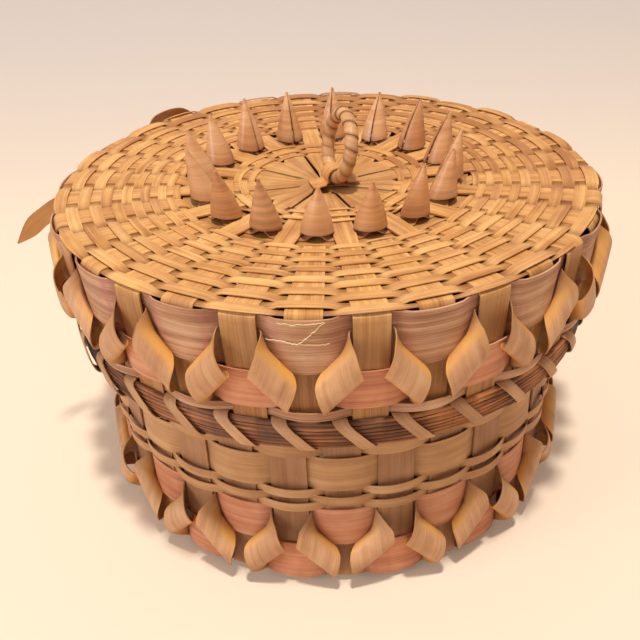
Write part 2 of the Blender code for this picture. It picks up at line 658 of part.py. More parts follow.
def build_base(lid, parent):
    """Weave the basket: star, floor, wall, rim and curls, up to the underside of the lid."""
    under_lid = lid.at_radius(BASE_RIM_RADIUS)[0].y - WEAVE_SWING - FINE_THICKNESS / 2
    lash = LASHING_GAP + LASHING_THICKNESS / 2
    wrap_height = under_lid - FIT_GAP - LASHING_THICKNESS / 2
    rim_top = wrap_height - lash
    hoop = (rim_top - BASE_HOOP_DEPTH, rim_top)
    wall = Wall(
        centre=(0.0, BASE_FLOOR_HEIGHT), star=(STAR_RADIUS, BASE_FLOOR_HEIGHT),
        corner=(BASE_CORNER_RADIUS, BASE_FLOOR_HEIGHT), rim=(BASE_RIM_RADIUS, rim_top),
        side=-1, count=BASE_UPRIGHTS, first_angle=BASE_FIRST_UPRIGHT)
    stations = [
        (wall.at_radius(SLIT_END_RADIUS), BASE_FINGER_HALF_WIDTH),
        (wall.at_radius(BASE_FLOOR_RADIUS), BASE_FLOOR_HALF_WIDTH),
        (wall.frame(wall.corner, wall.rim, 0.0), BASE_UPRIGHT_HALF_WIDTH),
        (wall.frame(wall.corner, wall.rim, 1.0), BASE_UPRIGHT_HALF_WIDTH),
    ]
    half_widths = (BASE_STAR_HUB_HALF_WIDTH, BASE_STAR_STEP_HALF_WIDTH, BASE_STAR_HALF_WIDTH)
    for index in range(BASE_SPLINTS):
        axis = wall.upright_angle(1 + BASE_FINGERS * index)
        add_star_splint(f"base_splint_{index + 1}", wall, axis, BASE_TOP_LEVEL - index, half_widths,
                        BASE_FINGERS, wall.pitch, stations, "pale", parent)

    floor_width = (BASE_FLOOR_RADIUS - FLOOR_START_RADIUS) / 2 - WALL_ROW_GAP
    floor_rows = stacked(FLOOR_START_RADIUS, (floor_width, floor_width))
    for row, edges in enumerate(floor_rows):
        lifts = (-FLOOR_SWING, FLOOR_SWING) if row % 2 else (FLOOR_SWING, -FLOOR_SWING)
        add_top_weaver(f"base_floor_weaver_{row + 1}", wall, edges, FINE_THICKNESS, lifts, "pale",
                       parent)
    inside = -lift_beside(WIDE_THICKNESS, TUCK_ROOM)
    outside = lift_beside(WIDE_THICKNESS, WALL_ROOM)
    above = lift_beside(WIDE_THICKNESS)
    stand = BASE_FLOOR_HEIGHT - WIDE_THICKNESS / 2
    stand_edges = (floor_rows[-1][1] + WALL_ROW_GAP, BASE_CORNER_RADIUS - STAND_WEAVER_ROOM)
    add_top_weaver("base_stand_weaver", wall, stand_edges, WIDE_THICKNESS, (-above, stand),
                   "pale", parent, BASE_FLAT_SHARE)

    widths = (BASE_LOWER_WIDTH, BASE_UPPER_WIDTH, BASE_NARROW_WIDTH, BASE_NARROW_WIDTH,
              BASE_NARROW_WIDTH, BASE_NATURAL_WIDTH, BASE_NARROW_TOP_WIDTH)
    lower, upper, *narrow_rows, natural, narrow_top = stacked(BASE_ROW_START, widths)
    hidden_start = narrow_top[1] + WALL_ROW_GAP
    hidden_width = (hoop[0] - HOOP_ROW_GAP + WALL_ROW_GAP - hidden_start) / 2 - WALL_ROW_GAP
    hidden_rows = stacked(hidden_start, (hidden_width, hidden_width))
    add_wall_weaver("base_lower_weaver", wall, lower, WIDE_THICKNESS, (outside, inside),
                    "pink", parent, BASE_FLAT_SHARE)
    add_wall_weaver("base_upper_weaver", wall, upper, WIDE_THICKNESS, (inside, outside),
                    "pink", parent, BASE_FLAT_SHARE)
    swing = WALL_BOW[::-1]
    opposite = WALL_BOW
    for row, edges in enumerate(narrow_rows):
        lifts = swing if row % 2 else opposite
        add_wall_weaver(f"base_narrow_weaver_{row + 1}", wall, edges, FINE_THICKNESS, lifts,
                        "pale", parent)
    add_wall_weaver("base_natural_weaver", wall, natural, FINE_THICKNESS, swing, "pale", parent)
    add_wall_weaver("base_narrow_weaver_4", wall, narrow_top, FINE_THICKNESS, opposite,
                    "pale", parent)
    for row, edges in enumerate(hidden_rows):
        lifts = opposite if row % 2 else swing
        add_wall_weaver(f"base_hidden_weaver_{row + 1}", wall, edges, FINE_THICKNESS, lifts, "pale",
                        parent)

    near = UPRIGHT_THICKNESS / 2 + FIT_GAP
    outer_far = near + BASE_OUTER_HOOP_THICKNESS
    inner_far = near + INNER_HOOP_THICKNESS
    add_hoop("base_outer_hoop", wall, hoop, near, outer_far, "dark", parent, HOOP_CROWN)
    add_hoop("base_inner_hoop", wall, hoop, -near, -inner_far, "dark", parent)
    slack = BASE_RIM_RADIUS * (1 / math.cos(wall.pitch / 2) - 1)
    add_lashing("base_lashing", wall, (hidden_rows[-1][1] + hoop[0]) / 2, wrap_height,
                outer_far + slack + lash, -inner_far - lash, "gold", parent)

    middle = (lower[1] + upper[0]) / 2
    add_curl_strip("base_curl_strip", wall, middle, BASE_CURL_HALF_HEIGHT, BASE_UPRIGHT_HALF_WIDTH,
                   "gold", parent)


def build_basket():
    """Build both woven shells, the lid on an empty on the axis along which it lifts."""
    lid_axis = add_empty("lid_axis", Vector((0.0, 0.0, 0.0)))
    lid_wall = build_lid(lid_axis)
    build_base(lid_wall, None)


build_basket()
print(f"Least gap between turns of the ring's wrapping: {least_wrap_gap():.6f} m")
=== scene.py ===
# %% [markdown]
# # A lidded basket of ash splint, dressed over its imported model
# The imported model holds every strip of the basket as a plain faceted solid. This lesson gives each
# strip its real face: smooth bends where it weaves, a rounded corner where it turns down into the
# wall, the grain of pounded ash, curls that fold over themselves and cones rolled from thin splint.
# Each new piece stands exactly where its node stands, so the lid still lifts and the ring swings.

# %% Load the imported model
import bisect
from math import copysign, cos, pi, radians, sin, sqrt, tan

import bpy
from mathutils import Matrix, Vector, noise


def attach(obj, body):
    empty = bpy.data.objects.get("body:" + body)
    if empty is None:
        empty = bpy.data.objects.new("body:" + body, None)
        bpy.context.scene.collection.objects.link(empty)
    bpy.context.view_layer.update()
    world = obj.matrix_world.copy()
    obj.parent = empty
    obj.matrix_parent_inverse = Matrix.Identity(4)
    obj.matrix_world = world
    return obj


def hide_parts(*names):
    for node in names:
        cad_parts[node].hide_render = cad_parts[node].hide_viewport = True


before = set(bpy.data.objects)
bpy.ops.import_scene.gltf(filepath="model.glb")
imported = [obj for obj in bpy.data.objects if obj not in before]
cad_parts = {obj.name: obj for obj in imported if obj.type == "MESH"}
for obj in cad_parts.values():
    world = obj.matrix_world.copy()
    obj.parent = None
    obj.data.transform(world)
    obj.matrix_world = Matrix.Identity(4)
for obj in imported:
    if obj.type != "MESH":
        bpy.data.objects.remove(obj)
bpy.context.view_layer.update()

# %% [markdown]
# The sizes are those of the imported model, in metres. The middle surface of each shell is one bent
# line turned about the axis: the star at the centre, the flat part, a corner, and the wall. A splint
# can't be creased to a point, so the corner gets a bend of a few millimetres. A place on the line is
# given by the length along the sharp line, and the bend is worked out from it.

# %% The bent line of a woven shell
BEND = 0.0026


def turned(flat, angle, sideways=0.0):
    """A point of a bent line, turned about the axis by an angle from the front to the right."""
    right, front = sin(angle), cos(angle)
    return Vector((flat.x * right + sideways * front, -flat.x * front + sideways * right, flat.y))


class Shell:
    """The middle surface of a woven shell, and where its uprights stand."""

    def __init__(self, centre, star, corner, rim, side, count, first):
        self.knots = [Vector(point) for point in (centre, star, corner, rim)]
        self.side, self.count, self.first = side, count, radians(first)
        self.pitch = 2 * pi / count
        legs = [end - start for start, end in zip(self.knots, self.knots[1:])]
        self.lengths = [leg.length for leg in legs]
        self.ways = [leg.normalized() for leg in legs]
        self.corner_q = self.lengths[0] + self.lengths[1]
        self.end_q = self.corner_q + self.lengths[2]
        self.turn = self.ways[1].angle(self.ways[2])
        self.reach = BEND * tan(self.turn / 2)

    def radius_q(self, radius):
        """Length along the line to a radius of the flat part."""
        star, corner = self.knots[1].x, self.knots[2].x
        if radius < star:
            return radius / star * self.lengths[0]
        return self.lengths[0] + (radius - star) / (corner - star) * self.lengths[1]

    def height_q(self, height):
        """Length along the line to a height of the wall."""
        share = (height - self.knots[2].y) / (self.knots[3].y - self.knots[2].y)
        return self.corner_q + share * self.lengths[2]

    def out(self, way):
        """The outward direction beside a direction of the line."""
        return Vector((-way.y, way.x)) * self.side

    def at(self, q):
        """Place and outward direction at a length along the line, with the corner rounded."""
        star, flat, wall = self.ways
        if q < self.lengths[0]:
            return self.knots[0] + star * q, self.out(star)
        if q < self.corner_q - self.reach:
            return self.knots[1] + flat * (q - self.lengths[0]), self.out(flat)
        if q > self.corner_q + self.reach:
            return self.knots[2] + wall * (q - self.corner_q), self.out(wall)
        share = (q - self.corner_q + self.reach) / (2 * self.reach)
        middle = self.knots[2] - flat * self.reach - self.out(flat) * BEND
        spin = -self.side * self.turn * share
        way = Vector((flat.x * cos(spin) - flat.y * sin(spin),
                      flat.x * sin(spin) + flat.y * cos(spin)))
        return middle + self.out(way) * BEND, self.out(way)

    def radius(self, q):
        """The radius of the line at a length along it."""
        return self.at(q)[0].x

    def spot(self, q, angle, lift=0.0, sideways=0.0):
        """A point of the shell in space."""
        place, out = self.at(q)
        return turned(place + out * lift, angle, sideways)

    def upright_spot(self, q, angle, lift):
        """A point beside the wall's straight line, which a stiff ring keeps up to its edge."""
        wall = self.ways[2]
        return turned(self.knots[2] + wall * (q - self.corner_q) + self.out(wall) * lift, angle)

    def upright(self, index):
        """The angle of an upright."""
        return self.first + index * self.pitch


LID = Shell(centre=(0.0, 0.1482), star=(0.031, 0.1502), corner=(0.1254, 0.152), rim=(0.1186, 0.0882),
            side=1, count=32, first=-15.7)
BASE = Shell(centre=(0.0, 0.0023), star=(0.031, 0.0023), corner=(0.108, 0.0023), rim=(0.1103, 0.14846),
             side=-1, count=30, first=-10.5)
print("Length of the lid's line from centre to rim: %.1f mm" % (LID.end_q * 1000))

# %% [markdown]
# A splint is a flat strip, so every strip starts as a flat grid. Its rows are laid along the path,
# its faces get a UV map in metres so that the grain always runs the long way, and Solidify gives it
# its thickness. Attributes go with the points: tone makes one brick of the weave lighter or darker
# than the next, and on some strips also paints light and shade; painted_shade is painted shade, high
# where the strip dives under a neighbour; painted_wall_shade is painted shade where an upright turns
# down into the wall; and stain_and_glint is high where dye has stayed and, on the curls, where a
# golden highlight is painted.

# %% Lay a strip along rows of points
GRAIN_STEP = (1.7, 0.31)


def pick(*pieces):
    """Select these pieces only, the first one active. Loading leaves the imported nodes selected."""
    bpy.ops.object.select_all(action="DESELECT")
    for piece in pieces:
        piece.select_set(True)
        bpy.context.view_layer.objects.active = pieces[0]


def run_lengths(points):
    """The length along a path at each of its points."""
    lengths = [0.0]
    for start, end in zip(points, points[1:]):
        lengths.append(lengths[-1] + (end - start).length)
    return lengths


def raw_strip(name, stations, closed=False, seed=0.0, shift=0.0):
    """A grid laid over stations, each a row of points and its looks, with a UV map in metres."""
    stations = list(stations)
    stations += stations[:1] if closed else []
    rows = [row for row, looks in stations]
    count, across = len(rows), len(rows[0])
    pick()
    bpy.ops.mesh.primitive_grid_add(x_subdivisions=count - 1, y_subdivisions=across - 1, size=1.0)
    piece = bpy.context.object
    piece.name = piece.data.name = name
    mesh = piece.data
    mesh.vertices.foreach_set("co", [value for j in range(across) for row in rows for value in row[j]])
    lengths = run_lengths([row[across // 2] for row in rows])
    width = max((row[-1] - row[0]).length for row in rows)
    corners = [0] * len(mesh.loops)
    mesh.loops.foreach_get("vertex_index", corners)
    uvs = []
    for j, i in (divmod(index, count) for index in corners):
        uvs += [lengths[i] + seed * GRAIN_STEP[0],
                (j / (across - 1) - 0.5 + shift) * width + seed * GRAIN_STEP[1]]
    mesh.uv_layers.active.data.foreach_set("uv", uvs)
    for label in stations[0][1]:
        values = [looks[label] for row, looks in stations]
        mesh.attributes.new(label, "FLOAT", "POINT").data.foreach_set(
            "value", [v[j] if isinstance(v, list) else v for j in range(across) for v in values])
    mesh.update()
    return piece


# %% Join strips, thicken them and let them stand for their nodes
WELD = 0.00002
BODIES = {"lid": "lid", "handle": "lid", "ring": "ring", "base": "basket"}


def edit_all(operator, **settings):
    """Run an edit mode operator on every point of the active piece."""
    bpy.ops.object.mode_set(mode="EDIT")
    bpy.ops.mesh.select_all(action="SELECT")
    operator(**settings)
    bpy.ops.object.mode_set(mode="OBJECT")


def join_strips(name, strips, weld=WELD):
    """Join strips into one piece and weld the points that they share."""
    pick(*strips)
    if len(strips) > 1:
        bpy.ops.object.join()
    piece = bpy.context.object
    piece.name = piece.data.name = name
    if weld:
        edit_all(bpy.ops.mesh.remove_doubles, threshold=weld)
    return piece


def ring_strip(name, stations, seed):
    """A strip whose end is welded to its start."""
    return join_strips(name, [raw_strip(name, stations, closed=True, seed=seed)])


def solidify(piece, thickness):
    """Give a laid strip its thickness, half of it to each side."""
    pick(piece)
    shell = piece.modifiers.new("splint thickness", "SOLIDIFY")
    shell.thickness, shell.offset = thickness, 0.0
    bpy.ops.object.modifier_apply(modifier=shell.name)


def thicken(piece, node, material, thickness=0.0005, smooth=40.0):
    """Give a laid strip its thickness and finish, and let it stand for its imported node."""
    if thickness:
        solidify(piece, thickness)
    pick(piece)
    bpy.ops.object.shade_smooth_by_angle(angle=radians(smooth))
    piece.data.materials.clear()
    piece.data.materials.append(material)
    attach(piece, BODIES[node.split("_")[0]])
    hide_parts(node)
    print(piece.name, "stands for", node, "with", len(piece.data.polygons), "faces")
    return piece


# %% Smooth paths and uneven values
def smooth_path(points, steps):
    """A smooth open curve through points of any number of values."""
    path = []
    for i in range(len(points) - 1):
        near = (points[max(i - 1, 0)], points[i], points[i + 1], points[min(i + 2, len(points) - 1)])
        for t in (k / steps for k in range(steps)):
            path.append([0.5 * (2 * b + (c - a) * t + (2 * a - 5 * b + 4 * c - d) * t * t
                                + (3 * b - a - 3 * c + d) * t * t * t) for a, b, c, d in zip(*near)])
    return path + [list(points[-1])]


def wobble(seed, *place):
    """A smooth uneven value between about -1 and 1, the same on every run."""
    point = list(place) + [0.0] * (3 - len(place))
    return noise.noise(Vector(point) + Vector((seed * 7.13, seed * 3.7, seed * 11.9)))


def sides(count):
    """Places across a strip, from -1 at one edge to 1 at the other."""
    return [2 * k / count - 1 for k in range(count + 1)]


print("Places across a strip of four columns:", sides(4))

# %% [markdown]
# Pounded ash splint is satin smooth with long fine grain, darker pores drawn out along it, and soft
# patches where the growth ring was thicker. A picture of wood would repeat on so many strips, so one
# builder makes every finish from a dark, a middle and a light colour. It stretches noise on the
# strip's own UV map into streaks, lays on stain and a painted golden highlight by stain_and_glint,
# darkens it with painted shade by painted_shade and painted_wall_shade, and adds a fine bump.

# %% Nodes for a finish
class Recipe:
    """A new material, with short words for the nodes that its finish is mixed from."""

    def __init__(self, name):
        self.material = bpy.data.materials.new(name)
        self.material.use_nodes = True
        self.tree = self.material.node_tree
        self.shader = self.tree.nodes["Principled BSDF"].inputs

    def fill(self, sockets, values):
        """Set sockets to numbers or colours, or link them to others. An underscore is a space."""
        for label, value in values.items():
            socket = sockets[label.replace("_", " ") if isinstance(label, str) else label]
            if isinstance(value, bpy.types.NodeSocket):
                self.tree.links.new(value, socket)
            else:
                socket.default_value = (*value, 1.0) if socket.type == "RGBA" else value

    def node(self, kind, **inputs):
        """A new node with some of its inputs filled."""
        new = self.tree.nodes.new("ShaderNode" + kind)
        self.fill(new.inputs, inputs)
        return new

    def step(self, operation, *values):
        """One step of arithmetic between sockets or numbers."""
        new = self.node("Math")
        new.operation = operation
        self.fill(new.inputs, dict(enumerate(values)))
        return new.outputs[0]

    def tint(self, factor, under, over, mode="MIX"):
        """Lay one colour over another."""
        new = self.node("Mix")
        new.data_type, new.blend_type = "RGBA", mode
        self.fill(new.inputs, {0: factor, 6: under, 7: over})
        return new.outputs[2]

    def read(self, label):
        """An attribute of the strip's points."""
        new = self.node("Attribute")
        new.attribute_name = label
        return new.outputs["Fac"]

    def streaks(self, along, across, detail):
        """Noise on the UV map, stretched by a scale along the strip and another across it."""
        coords = self.node("UVMap").outputs["UV"]
        place = self.node("Mapping", Vector=coords, Scale=(along, across, 1.0)).outputs["Vector"]
        return self.node("TexNoise", Vector=place, Scale=1.0, Detail=detail, Roughness=0.55).outputs["Fac"]


# %% The finish of a splint
FINE_SHARE, BAND_SHARE, PATCH_SHARE, TONE_SHARE = 0.45, 0.60, 0.55, 0.16
# In each pair the first is the wood's own colour; the second darkens a strip for painted shade.
PORE_DARK, PAINTED_SHADE_DARK = (0.55, 0.55, 0.55), (0.35, 0.28, 0.25)
BLUSH_COLOUR, WALL_SHADE_COLOUR = (0.56, 0.30, 0.20), (0.72, 0.66, 0.70)


def splint_finish(name, dark, middle, light, stain_and_glint=(0.62, 0.16, 0.20), streak=1.0, pores=0.35,
                  rough=0.5, shine=0.35):
    """The finish of one kind of splint."""
    make = Recipe(name)
    fine, band = make.streaks(28.0, 2100.0, 3.0), make.streaks(9.0, 330.0, 2.0)
    patch, dash = make.streaks(55.0, 70.0, 2.0), make.streaks(330.0, 3600.0, 1.0)
    blend = make.step("MULTIPLY", fine, FINE_SHARE * streak)
    blend = make.step("MULTIPLY_ADD", band, BAND_SHARE * streak, blend)
    blend = make.step("MULTIPLY_ADD", patch, PATCH_SHARE, blend)
    whole = (FINE_SHARE + BAND_SHARE) * streak + PATCH_SHARE
    blend = make.step("SUBTRACT", blend, 0.5 * whole - 0.5)
    blend = make.step("MULTIPLY_ADD", make.read("tone"), TONE_SHARE, blend)
    ramp = make.node("ValToRGB", Fac=blend)
    stops = ramp.color_ramp.elements
    stops[0].position, stops[0].color = 0.26, (*dark, 1.0)
    stops[1].position, stops[1].color = 0.76, (*light, 1.0)
    stops.new(0.5).color = (*middle, 1.0)
    holes = make.node("MapRange", From_Min=0.62, From_Max=0.74, Value=dash).outputs["Result"]
    marks = make.step("MULTIPLY", holes, pores)
    pore_colour, shade_colour = (tuple(a * b for a, b in zip(dark, shares))
                                for shares in (PORE_DARK, PAINTED_SHADE_DARK))
    colour = make.tint(marks, ramp.outputs["Color"], pore_colour)
    blot = make.step("ADD", make.step("MULTIPLY_ADD", patch, 0.9, -0.15), 0.15)
    # Stain where dye has stayed on the wall weavers; on the curls the same mix paints a golden highlight.
    colour = make.tint(make.step("MULTIPLY", make.read("stain_and_glint"), blot), colour, stain_and_glint)
    blush = make.step("MULTIPLY_ADD", make.streaks(21.0, 60.0, 1.0), 1.6, -0.55)
    colour = make.tint(make.step("MULTIPLY", blush, 0.30), colour, BLUSH_COLOUR)
    # Painted shade: an upright darkens where it turns down into the wall, which is lit less than the top.
    colour = make.tint(make.read("painted_wall_shade"), colour, WALL_SHADE_COLOUR, "MULTIPLY")
    # Painted shade: a strip browns where it dives under a neighbour, in hollows and between parts.
    colour = make.tint(make.step("MULTIPLY", make.read("painted_shade"), 0.75), colour, shade_colour)
    sheen = make.node("MapRange", To_Min=rough - 0.10, To_Max=rough + 0.14, Value=band)
    height = make.step("MULTIPLY_ADD", marks, -1.2, make.step("MULTIPLY_ADD", band, 0.5, fine))
    bump = make.node("Bump", Strength=0.35, Distance=0.00018, Height=height)
    make.fill(make.shader, dict(Base_Color=colour, Roughness=sheen.outputs["Result"],
                                Specular_IOR_Level=shine, Normal=bump.outputs["Normal"]))
    return make.material


# %% The finishes of this basket
TOP = splint_finish("lid top splint", (0.41, 0.155, 0.040), (0.66, 0.315, 0.092), (0.86, 0.50, 0.18),
                    streak=1.25)
SIDE = splint_finish("wall splint", (0.33, 0.135, 0.065), (0.55, 0.275, 0.145), (0.74, 0.44, 0.27),
                     streak=1.8)
ROSE = splint_finish("faded pink splint", (0.46, 0.14, 0.062), (0.66, 0.25, 0.122),
                     (0.79, 0.39, 0.225), streak=1.2)
# The curl finish's stain colour is the gold of its painted highlight.
CURL = splint_finish("curled splint", (0.44, 0.19, 0.085), (0.64, 0.325, 0.155), (0.80, 0.47, 0.25),
                     stain_and_glint=(0.82, 0.40, 0.085), rough=0.42)
NATURAL = splint_finish("natural wall splint", (0.42, 0.19, 0.072), (0.58, 0.29, 0.118),
                        (0.70, 0.40, 0.18))
HOOP = splint_finish("rim grass", (0.03, 0.008, 0.003), (0.17, 0.047, 0.012), (0.52, 0.19, 0.055),
                     streak=2.4, pores=0.7, rough=0.6)
LASH = splint_finish("lashing splint", (0.42, 0.19, 0.085), (0.58, 0.30, 0.14), (0.72, 0.42, 0.21))
CONE = splint_finish("cone splint", (0.50, 0.20, 0.07), (0.68, 0.32, 0.125), (0.82, 0.47, 0.24),
                     pores=0.15, rough=0.33, shine=0.55)
FIBRE = splint_finish("torn fibre splint", (0.78, 0.52, 0.25), (0.90, 0.68, 0.38),
                      (0.95, 0.80, 0.52), pores=0.0)
print("Splint finishes:", [m.name for m in bpy.data.materials if m.name.endswith(("splint", "grass"))])

# %% [markdown]
# Where a strip weaves, its lift over the middle surface swings between two heights. A pure wave
# would be too soft: a splint lies flat over an upright and dives quickly beside it. Raising the wave
# to a power below one flattens its tops and steepens its sides.

# %% The swing of a woven strip
def clamp(value, low=0.0, high=1.0):
    """A value kept between two limits."""
    return min(max(value, low), high)


def ease(share):
    """A smooth step from 0 to 1."""
    share = clamp(share)
    return share * share * (3 - 2 * share)


def swing(place, high_even, low_odd, power):
    """The lift of a strip that is at one height on even uprights and at another on odd ones."""
    wave = cos(pi * place)
    share = copysign(abs(wave) ** power, wave)
    return (high_even + low_odd) / 2 + (high_even - low_odd) / 2 * share, share


def table(stations, value):
    """Read a table of (place, size) pairs, straight between them."""
    places = [station[0] for station in stations]
    at = clamp(bisect.bisect_right(places, value), 1, len(stations) - 1)
    (start, first), (end, last) = stations[at - 1], stations[at]
    return first + (last - first) * clamp((value - start) / (end - start))


print("Lift a third of the way to the next upright: %.2f of the swing" % swing(1 / 3, 1, -1, 0.5)[0])

# %% [markdown]
# The lid's rows grow wider towards the corner. Two weavers chase each other in one long spiral, each
# over the uprights that the other passes under. These helpers give the radius of any row, and how
# the uprights themselves give way: down where a weaver crosses over, up where one passes under.

# %% Rows of the lid's top
ROW_GAP = -0.00022
TIP_SHARE = 0.3
GIVE = 0.00017


class Rows:
    """Rows of a spiral between two radii, the last one wider than the first."""

    def __init__(self, start, end, count, growth):
        self.start, self.width, self.count = start, end - start, count
        self.gain = (growth - 1) / (2 * count)
        self.whole = count + self.gain * count * count

    def radius(self, row):
        """The radius where a row starts."""
        row = clamp(row, 0.0, self.count)
        return self.start + self.width * (row + self.gain * row * row) / self.whole

    def row(self, radius):
        """The row that a radius falls in, where the rows grow."""
        reach = (radius - self.start) / self.width * self.whole
        return (sqrt(max(1 + 4 * self.gain * reach, 0.0)) - 1) / (2 * self.gain)


INNER = Rows(0.0338, 0.0478, 4, 1.0)
OUTER = Rows(0.0684, 0.1252, 13, 1.8)


def upright_give(index, radius):
    """How far an upright of the lid is pushed up or down by the weavers that cross it."""
    edge = clamp((radius - 0.069) / 0.003) * clamp((0.1245 - radius) / 0.002)
    index = index % 32
    wave = cos(pi * (OUTER.row(radius) - (index / 16 - 0.2)))
    return (-GIVE if index % 2 else GIVE) * wave * edge


print("Rows of the lid's top:", INNER.count, "and", OUTER.count)

# %% [markdown]
# The star at the lid's centre is four wide splints, each slit in two from both ends as far as the
# star's edge, so that its fingers become uprights. At the hub the splints are pinched and stacked.
# A slit could be cut with a boolean, but a slit splint is easier as two half strips that are welded
# along the middle as far as the slit.

# %% Star splints
SPLINT_THICK, WEAVER_THICK = 0.0007, 0.0004
# The last of these is how far past the corner an upright takes to darken with painted wall shade.
SLIT_RADIUS, HUB_RADIUS, HUB_SLOPE, WALL_SHADE_LENGTH = 0.033, 0.0135, 0.0045, 0.004
STAR_RADII = (0.0, 0.003, 0.006, 0.009, 0.0105, 0.012, 0.0135, 0.016, 0.0195, 0.0235, 0.027, 0.031)
# Painted shade on the star, deeper at the pinched, stacked hub.
HUB_SHADE, STAR_SHADE = 0.42, 0.24


def star_splint(name, shell, axis_index, level, fingers, step, star_table, finger_table, give, seed,
                columns=3, finger_step=0.0028):
    """Half strips from rim to rim through the centre, welded where the splint isn't slit."""
    slit_q = shell.radius_q(SLIT_RADIUS)
    free = shell.end_q - slit_q
    count = int(free / finger_step)
    halves = []
    for column in range(fingers):
        edges = 2 * column / fingers - 1, 2 * (column + 1) / fingers - 1
        middle = column - (fingers - 1) / 2
        plan = []
        for end, flip in ((0, 1), (1, -1)):
            axis, offset = shell.upright(axis_index) + end * pi, middle * step * flip
            index = axis_index + end * shell.count // 2 + offset
            part = [(shell.radius_q(radius), axis, level * clamp((HUB_RADIUS - radius) / HUB_SLOPE),
                     table(star_table, radius) * flip, edges, HUB_SHADE if radius < 0.014 else STAR_SHADE)
                    for radius in STAR_RADII[1 - end:]]
            for q in (slit_q + free * k / count for k in range(count + 1)):
                part.append((q, axis + offset * shell.pitch, give(index, q, shell.radius(q)),
                             table(finger_table, q) * flip, (-1, 1), 0.0))
            plan += part if end else part[::-1]
        # Each half strip carries painted shade on the star, and painted wall shade where a finger turns
        # down into the wall.
        halves.append(raw_strip(f"{name}_half", [
            ([shell.spot(q, angle, lift, (low + (high - low) * k / columns) * half)
              for k in range(columns + 1)],
             dict(tone=0.8 * wobble(seed, place * 0.11), painted_shade=shade_depth,
                  painted_wall_shade=ease((q - shell.corner_q) / WALL_SHADE_LENGTH)))
            for place, (q, angle, lift, half, (low, high), shade_depth) in enumerate(plan)],
            seed=seed, shift=middle))
    return join_strips(name, halves)


def by_radius(shell, *stations):
    """A table of half widths by length along the line, from one by radius."""
    return [(shell.radius_q(radius), half) for radius, half in stations]


FIELD_PART = ((0.070, 0.0045), (0.112, 0.0067), (0.1254, 0.0070))
LID_FINGERS = by_radius(LID, (0.033, 0.0046), (0.0335, 0.0046), (0.057, 0.0050), *FIELD_PART)
LID_STAR = [(0.0, 0.0032), (0.009, 0.0032), (0.013, 0.0045), (0.031, 0.0122)]
BULGE, BULGE_LENGTH = 0.0004, 0.42 * 0.064


def lid_give(index, q, radius):
    """Lift of an upright of the lid anywhere along its length."""
    if q < LID.corner_q:
        return upright_give(index, radius)
    bulge = BULGE * sin(pi * clamp((q - LID.corner_q) / BULGE_LENGTH))
    return -bulge if round(index) % 2 else bulge


for index in range(4):
    name = f"star_splint_{index + 1}"
    splint = star_splint(name, LID, 1 + 4 * index, (index - 1.5) * 0.001, 2, 2.0, LID_STAR, LID_FINGERS,
                         lid_give, 11 + index)
    thicken(splint, "lid_" + name, TOP, SPLINT_THICK)

# %% [markdown]
# Between the sixteen fingers stand sixteen more uprights. They are slipped under the flat band from
# outside, rise through the first row beyond it and then run like the others over the corner. Each
# is laid on its own, because each meets the weavers at another place of their spiral.

# %% Inserted uprights
INSERT_START, INSERT_STEP, INSERT_DROP = 0.0495, 0.0025, 0.0026
INSERTS = by_radius(LID, (INSERT_START, 0.0032), (0.0653, 0.0044), *FIELD_PART)


def insert_lift(q, radius, index):
    """Lift of an inserted upright: under the band first, then level with the others."""
    if q < LID.corner_q and radius < 0.0682:
        return -INSERT_DROP * (1 - ease((radius - 0.0652) / 0.003))
    return lid_give(index, q, radius)


start = LID.radius_q(INSERT_START)
count = int((LID.end_q - start) / INSERT_STEP)
for number in range(16):
    index, seed, stations = 2 * number + 1, 31 + number, []
    angle = LID.upright(index)
    for k in range(count + 1):
        q = start + (LID.end_q - start) * k / count
        half, lift = table(INSERTS, q), insert_lift(q, LID.radius(q), index)
        # Painted wall shade where the upright turns down into the wall.
        stations.append(([LID.spot(q, angle, lift, half * side) for side in (-1, -1 / 3, 1 / 3, 1)],
                         dict(tone=0.8 * wobble(seed, k * 0.11),
                              painted_wall_shade=ease((q - LID.corner_q) / WALL_SHADE_LENGTH))))
    name = f"inserted_upright_{number + 1:02d}"
    thicken(raw_strip(name, stations, seed=seed), "lid_" + name, TOP, SPLINT_THICK)

# %% [markdown]
# Each fine weaver is one unbroken strip that goes round and round. Over an upright it stands proud,
# so that the lid looks laid with small rounded bricks, and between two uprights it dives. Stacked
# rings would be simpler, but with an even number of uprights only two chased strips can make every
# row pass over what the last one went under. Their ends taper to a point.

# %% Chased weavers of the lid's top
# The lid's painted shade is deepest towards this direction.
BACK_RIGHT = radians(155)
CHASED_POWER, CHASED_STEPS, CHASED_COLUMNS = 0.36, 10, 3
TOP_EDGE = (0.02, 0.1256)


